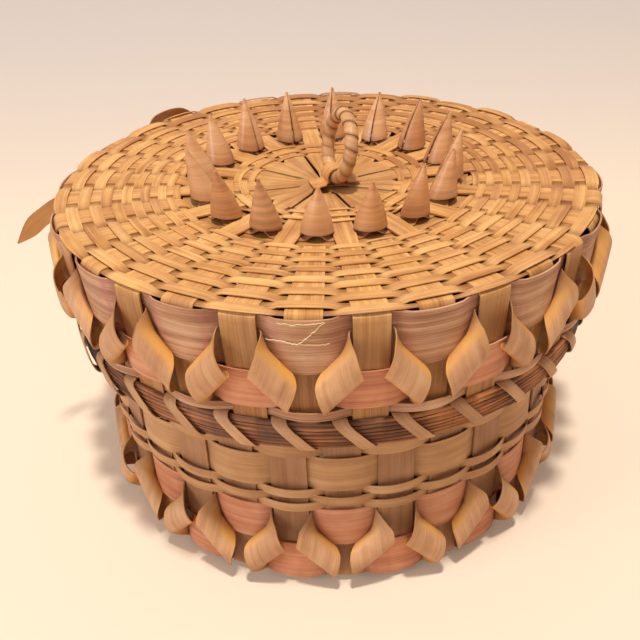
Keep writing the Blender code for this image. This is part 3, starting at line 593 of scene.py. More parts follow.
def chased_stations(weaver, every, height, seed, field):
    """The rows of one of two fine weavers that follow each other round the lid."""
    crossings = LID.count // every
    last = int((field.count + 1 - 2 * TIP_SHARE) * crossings / 2)
    for step in range(last * CHASED_STEPS + 1):
        index = step / CHASED_STEPS
        lift, share = swing(index + weaver, -height, height, CHASED_POWER)
        row = TIP_SHARE + 2 * index / crossings
        over = max(-share, 0.0)
        inside, outside = field.radius(row - 1) + ROW_GAP / 2, field.radius(row) - ROW_GAP / 2
        drift = 0.00012 * wobble(seed, index * 0.9)
        tilt = 0.00012 + 0.00018 * wobble(seed + 5, index * 0.7)
        angle = LID.upright((weaver * crossings // 2 + index) * every)
        late = clamp(row / field.count) ** 3 if field is OUTER else 0.0
        lift += (0.00025 * wobble(seed + 9, index * 0.6) + 0.00012 + 0.0007 * late) * over
        line = []
        for side in sides(CHASED_COLUMNS):
            radius = (inside + outside) / 2 + side * ((outside - inside) / 2) + drift
            crown = 0.00010 * over * (1 - side * side)
            q = LID.radius_q(clamp(radius, *TOP_EDGE))
            line.append(LID.spot(q, angle, lift + crown + tilt * side))
        # Painted light and shade: the tone darkens towards the back right, where less light falls on the
        # lid, and is a little lighter where the weaver stands proud; painted shade lies where it dives
        # under an upright.
        shade = ease(0.2 + 0.8 * cos(angle - BACK_RIGHT))
        yield line, dict(tone=1.4 * wobble(seed + 3, round(index) * 0.7, 0.5) + 0.25 * over - 1.1 * shade,
                         painted_shade=min(max(share, 0.0) * 0.8 + 0.15 * (1 - abs(share)), 1.0))


for weaver in (0, 1):
    for kind, every, height, seed, field in (("inner", 2, 0.00068, 51, INNER),
                                             ("outer", 1, 0.00052, 61, OUTER)):
        name = f"{kind}_weaver_{weaver + 1}"
        stations = chased_stations(weaver, every, height, seed + weaver, field)
        thicken(raw_strip(name, stations, seed=seed + weaver), "lid_" + name, TOP, WEAVER_THICK)

# %% [markdown]
# The flat band lies under the fingers like a ring of card. It is only seen between the fingers and
# around the cones, so a plain ring of splint with its grain running round is enough.

# %% The band
BAND_RADII, BAND_LIFT, BAND_STEPS = (0.0468, 0.0537, 0.0604, 0.0672), -0.0017, 192
# The band is painted with shade all over, as it lies under the fingers.
stations = [([LID.spot(LID.radius_q(radius), LID.upright(step / 6), BAND_LIFT) for radius in BAND_RADII],
             dict(tone=0.6 * wobble(71, step * 0.2), painted_shade=0.35)) for step in range(BAND_STEPS)]
thicken(raw_strip("band", stations, closed=True, seed=71), "lid_band", TOP)

# %% [markdown]
# The wall's weavers are closed rings: wide ones that lie flat outside an upright and tuck in behind
# the next, and narrow ones that bow out in loops. The wide ones were dyed pink long ago, and the dye
# has only stayed where the uprights kept the light off, so the dye stain is laid on beside them.
# A ring could be a bent cylinder, but rows of points let each one weave, sag and flare by itself.

# %% Weavers of the two walls
WALL_STEPS = 12
WIDE_OUT, WIDE_IN = 0.0011, -0.0020
BOW_OUT, BOW_IN = 0.0028, -0.0012
WIDE_ABOVE = 0.01


def wall_weaver(shell, node, heights, lifts, seed, material, power=0.5, thickness=SPLINT_THICK, across=5,
                stain_and_glint=0.0, flare=0.0):
    """A closed ring of splint woven round a wall."""
    low, high = (shell.height_q(height) for height in heights)
    start = 0 if lifts[0] < lifts[1] else 1
    stations = []
    for step in range(shell.count * WALL_STEPS):
        index = start + step / WALL_STEPS
        lift, share = swing(index, *lifts, power)
        out = share if start else -share
        drift = 0.0003 * wobble(seed, index * 0.8) * (0.5 if heights[1] - heights[0] > WIDE_ABOVE else 0.3)
        line = []
        for k, side in enumerate(sides(across)):
            lip = flare * abs(side) ** 3 * max(out, 0.0)
            bend = lift + lip + 0.0002 * wobble(seed + 2, index, side)
            q = low + (high - low) * k / across + drift
            line.append(shell.upright_spot(q, shell.upright(index), bend))
        # Painted shade where the strip tucks in behind an upright.
        looks = dict(tone=0.9 * wobble(seed + 3, index * 0.55),
                     painted_shade=min(max(-out, 0.0) ** 2 * 0.8 + 0.12 * (1 - abs(share)), 1.0))
        if stain_and_glint:
            beside = max(1 - abs(abs(share) - 0.35) / 0.35, 0.0)
            looks["stain_and_glint"] = max(stain_and_glint * beside * (0.6 + 0.8 * wobble(seed + 4, index * 0.4)), 0.0)
        stations.append((line, looks))
    name = node[4:] if shell is LID else node.replace("weaver", "strip")
    return thicken(ring_strip(name, stations, seed), node, material, thickness)


upper = wall_weaver(LID, "lid_upper_weaver", (0.1260, 0.1508), (WIDE_IN, WIDE_OUT), 81, SIDE, stain_and_glint=1.5,
                    flare=0.0004)
wall_weaver(LID, "lid_lower_weaver", (0.1077, 0.1258), (WIDE_OUT, WIDE_IN), 82, ROSE, stain_and_glint=0.5)
wall_weaver(LID, "lid_narrow_weaver", (0.1031, 0.1073), (BOW_IN, BOW_OUT), 83, SIDE, 0.85, WEAVER_THICK, 3)

# %% [markdown]
# A dry weaver splits where it is bent over an upright. This one has split at the front, and pale
# fibres stand up along the break. They could be painted on, but a raised edge catches the light, so
# each is a narrow ribbon along a ragged path, a little proud of the weaver and joined to it.

# %% The split in the upper weaver
CRACKED = 1
CRACK_PATHS = (
    ((-14.0, 142.4), (-8.0, 141.6), (-3.0, 140.4), (1.0, 143.2), (4.5, 147.0), (7.4, 150.2)),
    ((-9.0, 149.7), (-2.0, 149.2), (3.5, 149.6), (7.4, 150.2)),
    ((-3.0, 140.4), (3.0, 140.0), (9.0, 140.6)))
CRACK_TONES = (4.0, 1.0, -1.5)


def crack(ring, angle, seed):
    """Lay the pale fibres on a ring. Their paths run sideways and upwards, in millimetres."""
    fibres = []
    for number, path in enumerate(CRACK_PATHS):
        points = smooth_path(path, 7)
        stations = []
        for k, (across, height) in enumerate(points):
            rough = 0.6 * wobble(seed + number, k * 1.7)
            across += 0.9 * wobble(seed + 7 + number, k * 1.9)
            wide = (0.13 + 0.15 * abs(wobble(seed + 5, k * 0.7))) * (1 - (2 * k / len(points) - 1) ** 4)
            turn, lift = angle + across / 1000 / LID.knots[2].x, WIDE_OUT + 0.00070 + 0.0004 * abs(rough)
            heights = [(height + rough + wide * side) / 1000 for side in (-1, 1)]
            stations.append(([LID.upright_spot(LID.height_q(edge), turn, lift) for edge in heights],
                             dict(tone=CRACK_TONES[number])))
        fibres.append(raw_strip(f"fibre_{number}", stations, seed=seed + number))
    fibres = join_strips("upper_weaver_fibres", fibres, weld=0.0)
    solidify(fibres, 0.00025)
    fibres.data.materials.append(FIBRE)
    pick(ring, fibres)
    bpy.ops.object.join()


crack(upper, LID.upright(CRACKED), 84)
print("Upper weaver with its split:", len(upper.data.polygons), "faces")

# %% [markdown]
# The rim's hoop is a bundle of dried grass stems laid along the wall and bound down by a strip. The
# packed hoop is one crowned band, so the stems are ridges on that band: its profile is drawn as a
# row of small arcs, and each stem wanders a little in height as it goes round. Loose stems as pieces
# of their own would look the same and cost many more faces.

# %% Rim hoops
HOOP_STEPS, STEM_POINTS = 10, 4
NEAR, INNER_DEPTH, INNER_STEMS = 0.00065, 0.0014, 4


def stem_hoop(name, node, shell, heights, near, far, stems, seed):
    """A rim hoop whose outer face is a row of grass stems."""
    low, high = (shell.height_q(height) for height in heights)
    count, last = shell.count * HOOP_STEPS, stems * STEM_POINTS
    stations = []
    for step in range(count):
        angle = shell.upright(shell.count // 2 + step / HOOP_STEPS)
        turn = 2 * pi * step / count
        line, tone = [], []
        for share in (k / last for k in range(last + 1)):
            stem = min(int(share * stems), stems - 1)
            uneven = [wobble(seed + first + stem, pace * cos(turn), pace * sin(turn))
                      for first, pace in ((0, 9), (40, 14), (80, 5))]
            shift = 0.35 * uneven[0] / stems if 0 < share < 1 else 0.0
            ridge = abs(sin(pi * stems * share))
            crown = 1 - (2 * share - 1) ** 2
            lift = near + (far - near) * (0.45 + 0.35 * crown + 0.2 * ridge * (1 + 0.5 * uneven[1]))
            line.append(shell.spot(low + (high - low) * clamp(share + shift), angle, lift))
            # Painted highlight on the crest of each stem and painted shade in the grooves between stems, on
            # top of an uneven tone.
            tone.append(1.5 * (ridge - 0.6) + 1.6 * uneven[2])
        line += [shell.spot(q, angle, near) for q in (low + (high - low), low)] + [line[0].copy()]
        stations.append((line, dict(tone=tone + [0.0, 0.0, tone[0]])))
    hoop = ring_strip(name, stations, seed)
    edit_all(bpy.ops.mesh.normals_make_consistent, inside=False)
    thicken(hoop, node, HOOP, 0.0, smooth=50)


def two_hoops(prefix, shell, heights, depth, stems, seed):
    """The outer hoop of a rim and the inner one."""
    stem_hoop(f"{prefix}_rim_grass", f"{prefix}_outer_hoop", shell, heights, NEAR, NEAR + depth,
              stems, seed)
    stem_hoop(f"{prefix}_inner_rim", f"{prefix}_inner_hoop", shell, heights, -NEAR, -NEAR - INNER_DEPTH,
              INNER_STEMS, seed + 1)


two_hoops("lid", LID, (0.0880, 0.1015), 0.0024, 7, 101)

# %% [markdown]
# One strip winds round both hoops, down across the outside on a slant in every gap between two
# uprights and back up behind. It is laid along the corners of that path, with each corner rounded by
# running a smooth curve through it, which is quicker than bending a strip by hand 32 times.

# %% Lashing
LASH_WIDTH, LASH_SLANT = 0.006, 0.0115


def lashing(prefix, shell, cross, wrap, outer, inner, seed):
    """The strip that binds the rim."""
    q_cross, q_wrap = shell.height_q(cross), shell.height_q(wrap)
    q_middle, fall = (q_cross + q_wrap) / 2, q_wrap - q_cross
    radius, room, between = shell.radius(q_cross), shell.pitch, (outer + inner) / 2
    lean = LASH_SLANT / radius
    points = []
    for index in range(shell.count):
        start = shell.upright(index + 0.5)
        dip = 0.0009 * wobble(seed, index * 1.7)
        points += [
            (q_cross, start - 0.02 * room, between),
            (q_cross + fall * 0.10, start + 0.08 * lean, outer * 0.92),
            (q_middle, start + 0.52 * lean + dip, outer + 0.0004),
            (q_cross + fall * 0.88, start + 0.92 * lean, outer * 0.97),
            (q_wrap, start + 1.0 * lean, between),
            (q_cross + fall * 0.88, start + 1.02 * lean, inner),
            (q_middle, start + lean + 0.5 * (room - lean), inner),
            (q_cross + fall * 0.10, start + lean + 0.93 * (room - lean), inner)]
    points.append((q_cross, shell.upright(shell.count + 0.5) - 0.02 * room, between))
    half = LASH_WIDTH / 2 / radius
    stations = [([shell.spot(q, angle + half * side, lift + 0.00012 * (1 - side * side))
                  for side in (-1, 0, 1)], dict(tone=0.9 * wobble(seed, k * 0.09)))
                for k, (q, angle, lift) in enumerate(smooth_path(points, 4)[:-1])]
    thicken(ring_strip(f"{prefix}_lashing_strip", stations, seed), f"{prefix}_lashing", LASH)


lashing("lid", LID, 0.1023, 0.0873, 0.0041, -0.0028, 111)

# %% [markdown]
# The overlay strip gives this basket its look. It comes out from under an upright, is rolled once
# round a slanting line so that it stands out as a pointed curl, and goes under the next upright one
# row lower. A flat strip can only bend one way at a time, so the curl is worked out like real paper:
# the strip is cut by lines along the axis of the roll, and every line keeps its length while an oval
# carries it round. No two curls are equally tight or have quite the same slant. Where the roll is
# turned most sharply a golden highlight is painted along its edge, through stain_and_glint, and its
# ends by the slots are painted in shade.

# %% Curls
CURL_OVAL = [(-2.4, 0.0), (0.9, 0.3), (4.1, 1.4), (6.3, 3.7), (5.9, 7.0), (3.2, 9.0), (0.0, 9.6)]
CURL_OVAL += [(-across, out) for across, out in CURL_OVAL[-2::-1]]
CURL_PATH = [Vector(point) for point in smooth_path(CURL_OVAL, 8)]
CURL_STATIONS = list(zip(run_lengths(CURL_PATH), CURL_PATH))
CURL_SLANT, SLANT_GIVE = radians(52), radians(7)
CURL_SLOT, CURL_SLOT_SHARE, CURL_END_SHARE = -0.0010, 0.85, 0.10
CURL_STEPS, CURL_COLUMNS = 44, 8
SETTLE, PRESS_ROOM = 0.0045, 0.004


def oval_place(along, length):
    """The place at a length along the oval, when the oval is scaled to a whole length."""
    scale = length / CURL_STATIONS[-1][0]
    inside = clamp(along, 0.0, length)
    return table(CURL_STATIONS, inside / scale) * scale + Vector((along - inside, 0.0))


def curl_stations(shell, middle, index, half_height, half_width, seed):
    """Rows across one curl from its upper slot to its lower one, with its painted golden highlight and
    painted shade by the slots.
    """
    radius = shell.radius(shell.height_q(middle))
    slot = CURL_SLOT_SHARE * (radius * shell.pitch / 2 - half_width)
    lean = 1 - 2 * (index % 2)
    slant = CURL_SLANT + SLANT_GIVE * wobble(seed, index * 3.1)
    press = 0.98 + 0.14 * wobble(seed + 1, index * 2.3)
    sag = -0.0016 + 0.0015 * wobble(seed + 2, index * 1.9)
    shift = 0.0014 * wobble(seed + 5, index * 2.9)
    level = 0.9 * wobble(seed + 7, index * 2.7)
    low = CURL_END_SHARE * half_height
    width, centre = half_height - low, (half_height + low) / 2
    axis, normal = Vector((cos(slant), -sin(slant))), Vector((sin(slant), cos(slant)))
    strip = axis.dot(Vector((2 * slot, -2 * centre))) / axis.x
    lead = normal.y * width
    part = []
    for step in range(CURL_STEPS + 1):
        along = strip * step / CURL_STEPS
        free = ease(min(along, strip - along) / SETTLE)
        row, glint = [], []
        for side in sides(CURL_COLUMNS):
            across = side / 2 * width
            over, out = oval_place(normal.x * along + normal.y * across + lead / 2, normal.x * strip + lead)
            run = axis.dot(Vector((-slot, centre))) + axis.x * along + axis.y * across
            flat = Vector((along - slot, centre + across)) if along < strip / 2 else \
                Vector((slot + along - strip, across - centre))
            x, y = flat.lerp(axis * run + normal * over, free)
            loose = ease(out / 0.008) * free
            pressed = 1 + (press - 1) * min(out / PRESS_ROOM, 1.0)
            row.append(shell.spot(shell.height_q(middle + y + sag * loose), shell.upright(index + 0.5)
                                  + lean * (x * (1 + 0.10 * loose) + shift * loose) / radius,
                                  CURL_SLOT + out * free * pressed))
            # Painted highlight: gold along the sharpest turn of the roll and along the strip's edges.
            glint.append(1.9 * ease((abs(over) - 0.0042) / 0.0018) * free + 0.5 * abs(side) ** 6)
        part.append((row, glint))
    # Painted shade near each slot, where the strip goes into the hollow under an upright.
    return [(row, dict(tone=level + 0.3 * wobble(seed + 8, index, k * 0.1),
                       painted_shade=0.95 * (2 * abs(k / CURL_STEPS - 0.5)) ** 3, stain_and_glint=glint))
            for k, (row, glint) in enumerate(part[::lean])]


print("Length of the roll's outline before scaling: %.1f mm" % CURL_STATIONS[-1][0])

# %% [markdown]
# Two ends of the lid's strip have come free: one is torn and points out at the left, the other stands
# up behind the lid. Each is drawn through stations that give its middle and its half width.

# %% The overlay strips and their loose ends
TORN = ((-124.0, 3.0, 141.5, -0.5, 0.5, 4.6), (-129.5, 2.0, 140.5, -0.8, 0.5, 4.6),
        (-136.0, 0.0, 137.0, -1.0, 0.5, 4.4), (-142.0, -4.0, 133.0, -1.5, 0.5, 3.9),
        (-147.6, -10.0, 128.0, -0.2, 0.0, 0.3))
RISEN = ((-97.9, 79.2, 141.0, 0.3, -0.3, 4.0), (-95.6, 87.6, 149.5, 0.9, -1.0, 4.0),
         (-88.7, 95.6, 152.2, 1.4, -1.6, 3.6), (-79.6, 102.0, 150.8, 0.9, -1.2, 3.6),
         (-70.4, 104.4, 143.0, 0.3, -0.4, 4.0))


def loose_end(name, path, seed):
    """A freed piece of the strip, through places of its middle and its half width, x y z in mm."""
    # A loose end is painted with a little shade all over and with the curls' golden highlight colour all
    # over.
    return raw_strip(name, [
        ([(Vector(place[:3]) + side * Vector(place[3:])) / 1000 for side in (-1, -0.5, 0, 0.5, 1)],
         dict(tone=-0.8 + 0.4 * wobble(seed, k * 0.2), painted_shade=0.25, stain_and_glint=1.0))
        for k, place in enumerate(smooth_path(path, 6))], seed=seed)


def curl_strip(prefix, shell, middle, half_height, half_width, seed, loose=()):
    """The whole overlay strip with a curl in every gap."""
    name = f"{prefix}_curls"
    strips = [raw_strip(name, [station for index in range(shell.count) for station in
                               curl_stations(shell, middle, index, half_height, half_width, seed)],
                        closed=True, seed=seed)]
    strips += [loose_end(f"{name}_loose_{k}", path, seed + 11 + k) for k, path in enumerate(loose)]
    thicken(join_strips(name, strips), f"{prefix}_curl_strip", CURL, smooth=60)


curl_strip("lid", LID, 0.126, 0.0183, 0.0067, 121, (TORN, RISEN))

# %% [markdown]
# Sixteen cones stand on the band. Each is a short length of splint rolled round itself, so its wall
# overlaps along a seam, its foot is open and its tip is a tight twist. A cone primitive has no seam
# and no open foot, so each cone is laid out as a rolled strip with its own height, lean, seam and
# tightness, because they were rolled by hand. One has come partly undone and one is cracked in
# rings. Between two cones the strip goes on under the finger.

# %% Cones
CONE_COUNT, CONE_RING, CONE_FOOT, CONE_REACH = 16, 0.0575, 0.00065, 0.0067
CONE_STEPS, CONE_ROWS, LINK_STEPS = 30, 12, 14
UNRAVELLED, RIDGED = 13, 15


def rolled_cone(number):
    """One cone as a rolled strip, in rows from its foot to its tip."""
    q = LID.radius_q(CONE_RING)
    tall = 0.0226 + 0.0027 * wobble(131, number * 1.7)
    tip_out = 0.0056 + 0.0022 * wobble(132, number * 2.1)
    tip_side = 0.0034 * wobble(133, number * 1.9)
    reach = CONE_REACH * (1.03 + 0.10 * wobble(134, number * 2.3))
    seam = pi + 0.5 * wobble(135, number * 2.9)
    tone = 1.4 * wobble(137, number * 3.7)
    turns = 0.80 if number == UNRAVELLED else 0.985 + 0.04 * wobble(139, number * 3.3)
    ridge = 0.06 if number == RIDGED else 0.0
    stations = []
    for step in range(CONE_STEPS + 1):
        part = step / CONE_STEPS
        turn = seam + 2 * pi * (turns * part + (1 - turns) / 2)
        lap = 0.0006 * (part - 0.5)
        edge = 0.35 * (2 * abs(part - 0.5)) ** 24
        line, shade_depth = [], []
        for k in range(CONE_ROWS + 1):
            share = k / CONE_ROWS
            fall = (1 - share) * (1 + 0.36 * share)
            radius = max((reach + lap) * fall, 0.0004 + 0.4 * lap) * (1 + ridge * (k % 2))
            radius *= 1 - 0.10 * ease(1 - 4 * min(part, 1 - part)) * (1 - share)
            oval = 1 + 0.10 * share * cos(2 * turn + number)
            foot = 0.0003 + 0.0014 * (0.5 + 0.5 * cos(turn)) ** 0.7
            foot += 0.0004 * wobble(136, number, turn * 0.5)
            out = radius * oval * cos(turn) + tip_out * share ** 1.15
            side = radius / oval * sin(turn) + tip_side * share ** 1.5
            lift = CONE_FOOT + foot * (1 - share) + (tall + 0.0006 * part) * share
            line.append(LID.spot(q + out, LID.upright(2 * number + 1), lift, side))
            # Painted shade in the ring cracks, at the open foot and along the edges of the seam.
            shade_depth.append(8 * ridge * (1 - k % 2) + 0.55 * (1 - share) ** 6 + edge)
        stations.append((line, dict(tone=tone + 0.3 * wobble(138, number, step * 0.2), painted_shade=shade_depth)))
    return raw_strip(f"cone_{number}", stations, seed=131 + number * 0.43)


def cone_link(number):
    """The strip between two cones, flat under the finger and rising to each cone's foot."""
    stations = []
    # The link is painted with shade all over, as it lies under a finger.
    for place in sides(LINK_STEPS):
        angle = LID.upright(2 * number + 2 + 0.92 * place)
        rise = ease((abs(place) - 0.62) / 0.38)
        stations.append(([LID.spot(LID.radius_q(CONE_RING + across * (0.0052 - 0.0016 * rise)), angle,
                                   -0.00095 + 0.0019 * rise) for across in (-1, 0, 1)], dict(painted_shade=0.3)))
    return raw_strip(f"link_{number}", stations, seed=151 + number)


strips = [lay(number) for lay in (rolled_cone, cone_link) for number in range(CONE_COUNT)]
thicken(join_strips("cones", strips, weld=0.0), "lid_cone_strip", CONE, smooth=45)

# %% [markdown]
# The handle is a small ring of wood with splint wound round it, held in a broad loop of splint at
# the hub of the star. The ring leans, because it lies where it was last let go. All of it is placed
# from the hinge, the point about which the ring swings in its loop. The core is a plain torus, and
# the winding is laid over it in rows, as a spiral of thin splint has edges that a torus lacks.

# %% Ring handle
HINGE = Matrix.Translation((0.0015, 0.0037, 0.154381))
HEADING, LEAN = Matrix.Rotation(radians(18.0), 4, "Z"), Matrix.Rotation(radians(12.0), 4, "Y")
STRAP_PLACE = HINGE @ HEADING @ Matrix.Translation((0.0, -0.0078, 0.0))
RING_PLACE = STRAP_PLACE @ LEAN
RING_RADIUS, CORE_RADIUS, WRAP_RADIUS, LOOPS = 0.0144, 0.0021, 0.0028, 16
LOOP_STEPS, SIDES = 16, sides(4)

pick()
bpy.ops.mesh.primitive_torus_add(major_radius=RING_RADIUS, minor_radius=CORE_RADIUS,
                                 major_segments=72, minor_segments=14, generate_uvs=True)
core = bpy.context.object
core.name = core.data.name = "ring_core"
core.data.transform(RING_PLACE @ Matrix.Translation((0, 0, RING_RADIUS)) @ Matrix.Rotation(pi / 2, 4, "Y"))
for corner in core.data.uv_layers.active.data:
    corner.uv = (corner.uv[0] * 2 * pi * RING_RADIUS, corner.uv[1] * 2 * pi * CORE_RADIUS)
thicken(core, "ring_handle", CONE, 0.0)


def ring_spot(turn, around, radius):
    """A point of the ring's tube at rest."""
    reach = RING_RADIUS + radius * cos(around)
    return RING_PLACE @ Vector((radius * sin(around), reach * sin(turn), RING_RADIUS - reach * cos(turn)))


stations = []
for step in range(LOOPS * LOOP_STEPS):
    loop = step / LOOP_STEPS
    turn, around = 2 * pi * step / (LOOPS * LOOP_STEPS), 2 * pi * loop
    half = pi / LOOPS * (1.0 + 0.03 * wobble(141, loop))
    # Painted shade along both edges of each turn of the wrap, where it meets the next.
    stations.append((
        [ring_spot(turn + half * side, around, WRAP_RADIUS + 0.00022 * side) for side in SIDES],
        dict(tone=[1.1 * wobble(142, loop * 0.9) - 0.7 * abs(side) ** 3 for side in SIDES],
             painted_shade=[0.55 * abs(side) ** 4 for side in SIDES])))
WRAP = splint_finish("ring wrap splint", (0.46, 0.21, 0.08), (0.68, 0.36, 0.15), (0.82, 0.50, 0.23),
                     rough=0.42)
thicken(ring_strip("ring_wrap", stations, 141), "ring_wrapping", WRAP)

# %% [markdown]
# The strap is a short strip whose middle stands up as a loop round the ring's tube, while its two
# ends lie flat under the star. Its side view is drawn as a route and each place of it gets a row.

# %% Strap of the ring
STRAP_REACH, STRAP_LOOP, STRAP_HALF = 0.0115, 0.0047, 0.004
drop = WRAP_RADIUS + 0.00025 - 0.0003
foot = [(-STRAP_REACH, -drop), (-0.0085, -drop), (-0.0055, -drop + 0.0002)]
turns = [pi * (1.08 - 1.16 * step / 12) for step in range(13)]
route = foot + [(STRAP_LOOP * cos(turn), STRAP_LOOP * sin(turn)) for turn in turns]
route += [(-across, up) for across, up in foot[::-1]]
stations = []
for k, (across, up) in enumerate(route):
    spread = 1 + 0.25 * min(abs(across) / STRAP_REACH, 1.0)
    stations.append(([STRAP_PLACE @ Vector((across, side * STRAP_HALF * spread, up)) for side in SIDES],
                     dict(tone=0.5 * wobble(145, k * 0.3))))
thicken(raw_strip("strap", stations, seed=145), "handle_strap", TOP, 0.0006)

# %% [markdown]
# The basket under the lid is woven like the lid, from five splints slit in three. Its floor is hidden
# unless it is turned over, but it is woven all the same. The corner weaver is what it stands on.

# %% Floor of the basket
BASE_FINGERS = by_radius(BASE, (0.033, 0.0015), (0.0865, 0.0034), (0.108, 0.0078), (0.109, 0.0078))
BASE_STAR = [(0.0, 0.0026), (0.009, 0.0026), (0.013, 0.0036), (0.031, 0.0078)]
FLOOR_STEPS, FLOOR_COLUMNS, UNDER = 8, 4, 0.00205


def base_give(index, q, radius):
    """Lift of an upright of the basket: it bows a little where a wide weaver passes behind it."""
    height = q - BASE.corner_q
    for low, high, odd in ((0.0007, 0.0217, 1), (0.0221, 0.0427, 0)):
        if low < height < high:
            bow = 0.0003 * sin(pi * (height - low) / (high - low))
            return bow if round(index) % 2 == odd else -bow
    return 0.0


for index in range(5):
    name = f"base_splint_{index + 1}"
    splint = star_splint(name + "_strip", BASE, 1 + 3 * index, (1 - index) * 0.001, 3, 1.0, BASE_STAR,
                         BASE_FINGERS, base_give, 161 + index, columns=2, finger_step=0.004)
    thicken(splint, name, NATURAL, SPLINT_THICK)
for name, inside, outside, lifts, power, thickness, seed in (
        ("floor_weaver_1", 0.0340, 0.0599, (UNDER, -UNDER), 0.8, WEAVER_THICK, 171),
        ("floor_weaver_2", 0.0603, 0.0861, (-UNDER, UNDER), 0.8, WEAVER_THICK, 172),
        ("stand_weaver", 0.0867, 0.1040, (-0.0010, 0.00195), 0.5, SPLINT_THICK, 173)):
    qs = [BASE.radius_q(inside + (outside - inside) * k / FLOOR_COLUMNS) for k in range(FLOOR_COLUMNS + 1)]
    stations = []
    for index in (step / FLOOR_STEPS for step in range(BASE.count * FLOOR_STEPS)):
        lift = swing(index, *lifts, power)[0]
        stations.append(([BASE.spot(q, BASE.upright(index), lift) for q in qs],
                         dict(tone=0.8 * wobble(seed, index * 0.5))))
    thicken(ring_strip(name, stations, seed), "base_" + name, NATURAL, thickness)

# %% [markdown]
# Up the wall come two wide pink weavers behind the curls, three narrow ones, a wide natural one and a
# narrow one. The two above those only show with the lid off. The rim is bound like the lid's. All
# of it comes from the lid's helpers, which is why they were written as helpers.

# %% Wall of the basket
NATURAL_OUT, NARROW_LOW, NARROW_PITCH = BOW_OUT - 0.0008, 0.0454, 0.0039
wall_weaver(BASE, "base_lower_weaver", (0.0030, 0.0240), (WIDE_OUT, WIDE_IN), 181, ROSE, stain_and_glint=0.8)
wall_weaver(BASE, "base_upper_weaver", (0.0244, 0.0450), (WIDE_IN, WIDE_OUT), 182, ROSE, stain_and_glint=0.8)
for row in range(3):
    low = NARROW_LOW + NARROW_PITCH * row
    lifts = (BOW_IN, BOW_OUT) if row % 2 else (BOW_OUT, BOW_IN)
    wall_weaver(BASE, f"base_narrow_weaver_{row + 1}", (low - 0.00045, low + 0.00395), lifts, 183 + row,
                NATURAL, 0.85, WEAVER_THICK, 3)
for label, heights, lifts, power, seed, across in (
        ("natural_weaver", (0.0567, 0.0743), (BOW_IN, NATURAL_OUT), 0.6, 187, 5),
        ("narrow_weaver_4", (0.0745, 0.0827), (BOW_OUT - 0.0004, BOW_IN), 0.75, 188, 3),
        ("hidden_weaver_1", (0.0831, 0.1086), (BOW_IN, NATURAL_OUT), 0.6, 189, 5),
        ("hidden_weaver_2", (0.1090, 0.1345), (NATURAL_OUT, BOW_IN), 0.6, 190, 5)):
    wall_weaver(BASE, "base_" + label, heights, lifts, seed, NATURAL, power, WEAVER_THICK, across)
two_hoops("base", BASE, (0.1362, 0.1484), 0.0018, 6, 191)
lashing("base", BASE, 0.1354, 0.1491, 0.0035, -0.0028, 193)
curl_strip("base", BASE, 0.0242, 0.0197, 0.0078, 194)

# %% [markdown]
# The basket stands on a cream sheet that rises softly behind it, like a photographer's roll of paper.
# It is one grid, bent where it leaves the table, and its own attribute says how far it has risen, so
# that its colour can go from warm cream below to a pinkish grey above.

# %% Sheet under and behind the basket
SHEET_WIDTH, SHEET_LENGTH, SHEET_START, SHEET_DROP = 6.0, 4.4, -2.0, 0.0004
RISE_START, RISE_BEND = 0.42, 0.45


def sheet_finish(name, floor, wall, glow):
    """Cream below and grey above, a little brighter to the camera than it lights the basket."""
    make = Recipe(name)
    colour = make.tint(make.read("rise"), floor, wall)
    low = make.step("SUBTRACT", 1.0, make.read("rise"))
    seen = make.step("MULTIPLY", make.node("LightPath").outputs["Is Camera Ray"], low)
    make.fill(make.shader, dict(Base_Color=colour, Emission_Color=colour, Roughness=0.9,
                                Emission_Strength=make.step("MULTIPLY", seen, glow),
                                Specular_IOR_Level=0.1))
    return make.material


pick()
bpy.ops.mesh.primitive_grid_add(x_subdivisions=2, y_subdivisions=80, size=1.0)
sheet = bpy.context.object
sheet.name = sheet.data.name = "cream_sheet"
rise = sheet.data.attributes.new("rise", "FLOAT", "POINT")
for vertex in sheet.data.vertices:
    run = (vertex.co.y + 0.5) * SHEET_LENGTH + SHEET_START
    turn = clamp((run - RISE_START) / RISE_BEND, 0.0, pi / 2)
    past = max(run - RISE_START - RISE_BEND * pi / 2, 0.0)
    vertex.co = (vertex.co.x * SHEET_WIDTH, min(run, RISE_START) + RISE_BEND * sin(turn),
                 RISE_BEND * (1 - cos(turn)) + past - SHEET_DROP)
    rise.data[vertex.index].value = ease((run - 0.15) / 0.75)
bpy.ops.object.shade_smooth()
sheet.data.materials.append(sheet_finish("cream sheet", (0.79, 0.645, 0.50), (0.54, 0.475, 0.455), 0.16))
print("Sheet:", len(sheet.data.polygons), "faces")

# %% [markdown]
# The camera looks down at the front from a little above the lid, as close as a person who is about to
# lift it. Its place, its three turns and its lens were worked out from points of the rims in the
# photograph. The first two are in radii of the lid, the focal length in pixels.

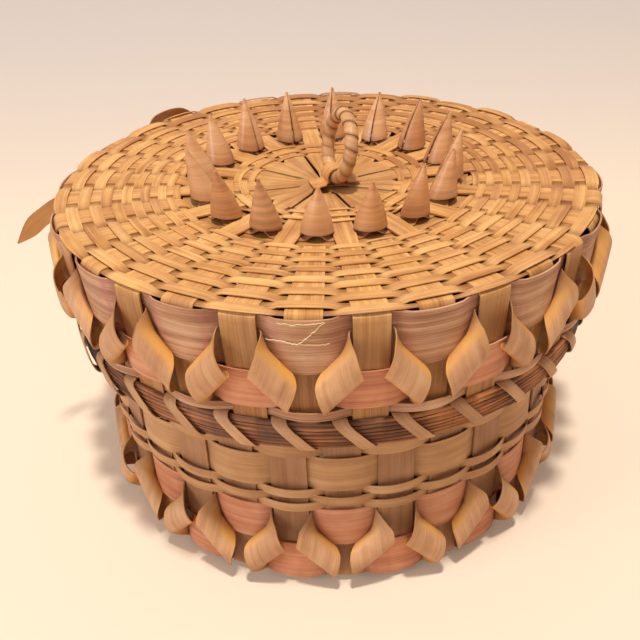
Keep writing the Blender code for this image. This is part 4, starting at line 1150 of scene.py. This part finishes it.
# %% Camera
LID_RADIUS, LID_HEIGHT, FRAME_PIXELS, SENSOR = 0.127, 0.152, 640, 36.0
AWAY, HIGH, PITCH, YAW, ROLL, FOCAL = 3.1723, 1.32705, 0.55031, -0.01360, -0.04130, 918.03
ahead = Vector((sin(YAW) * cos(PITCH), cos(YAW) * cos(PITCH), -sin(PITCH)))
right = Vector((cos(YAW), -sin(YAW), 0.0))
up = right.cross(ahead)
turned_right = right * cos(ROLL) + up * sin(ROLL)
turned_up = up * cos(ROLL) - right * sin(ROLL)
place = Vector((0.0, -AWAY * LID_RADIUS, LID_HEIGHT + HIGH * LID_RADIUS))
view = Matrix((turned_right, turned_up, -ahead)).transposed().to_4x4()
view.translation = place
lens = bpy.data.cameras.new("camera")
lens.sensor_width, lens.lens, lens.clip_start = SENSOR, FOCAL / FRAME_PIXELS * SENSOR, 0.01
camera = bpy.data.objects.new("camera", lens)
camera.matrix_world = view
scene = bpy.context.scene
scene.collection.objects.link(camera)
scene.camera = camera
print("Camera at", [round(v, 3) for v in place], "lens %.1f mm" % lens.lens)

# %% [markdown]
# The basket stands in a room by day. A small ceiling lamp, a little in front, throws the lid's shadow
# down the wall and a crisp one of the curls on the table. A large cool window at the left lights the
# wall from the side, and an even warm sky keeps the shadows open. Standard view keeps the colours.

# %% Lamps and sky
def soft_lamp(name, place, aim, size, power, colour):
    """A round lamp that points at a place."""
    lamp = bpy.data.lights.new(name, "AREA")
    lamp.shape = "DISK"
    lamp.size, lamp.energy, lamp.color = size, power, colour
    holder = bpy.data.objects.new(name, lamp)
    holder.location = place
    holder.rotation_euler = (Vector(aim) - Vector(place)).to_track_quat("-Z", "Y").to_euler()
    scene.collection.objects.link(holder)


soft_lamp("ceiling lamp", (0.05, -0.62, 2.70), (0.0, 0.0, 0.08), 0.22, 60.0, (1.0, 0.96, 0.90))
soft_lamp("window", (-2.5, -1.2, 0.9), (0.0, 0.0, 0.06), 1.4, 31.0, (0.84, 0.90, 1.0))
scene.world = bpy.data.worlds.new("sky")
scene.world.use_nodes = True
sky = scene.world.node_tree.nodes["Background"].inputs
sky["Color"].default_value, sky["Strength"].default_value = (1.0, 0.94, 0.86, 1.0), 0.37
scene.view_settings.view_transform = "Standard"
print("Lamps:", len(bpy.data.lights))
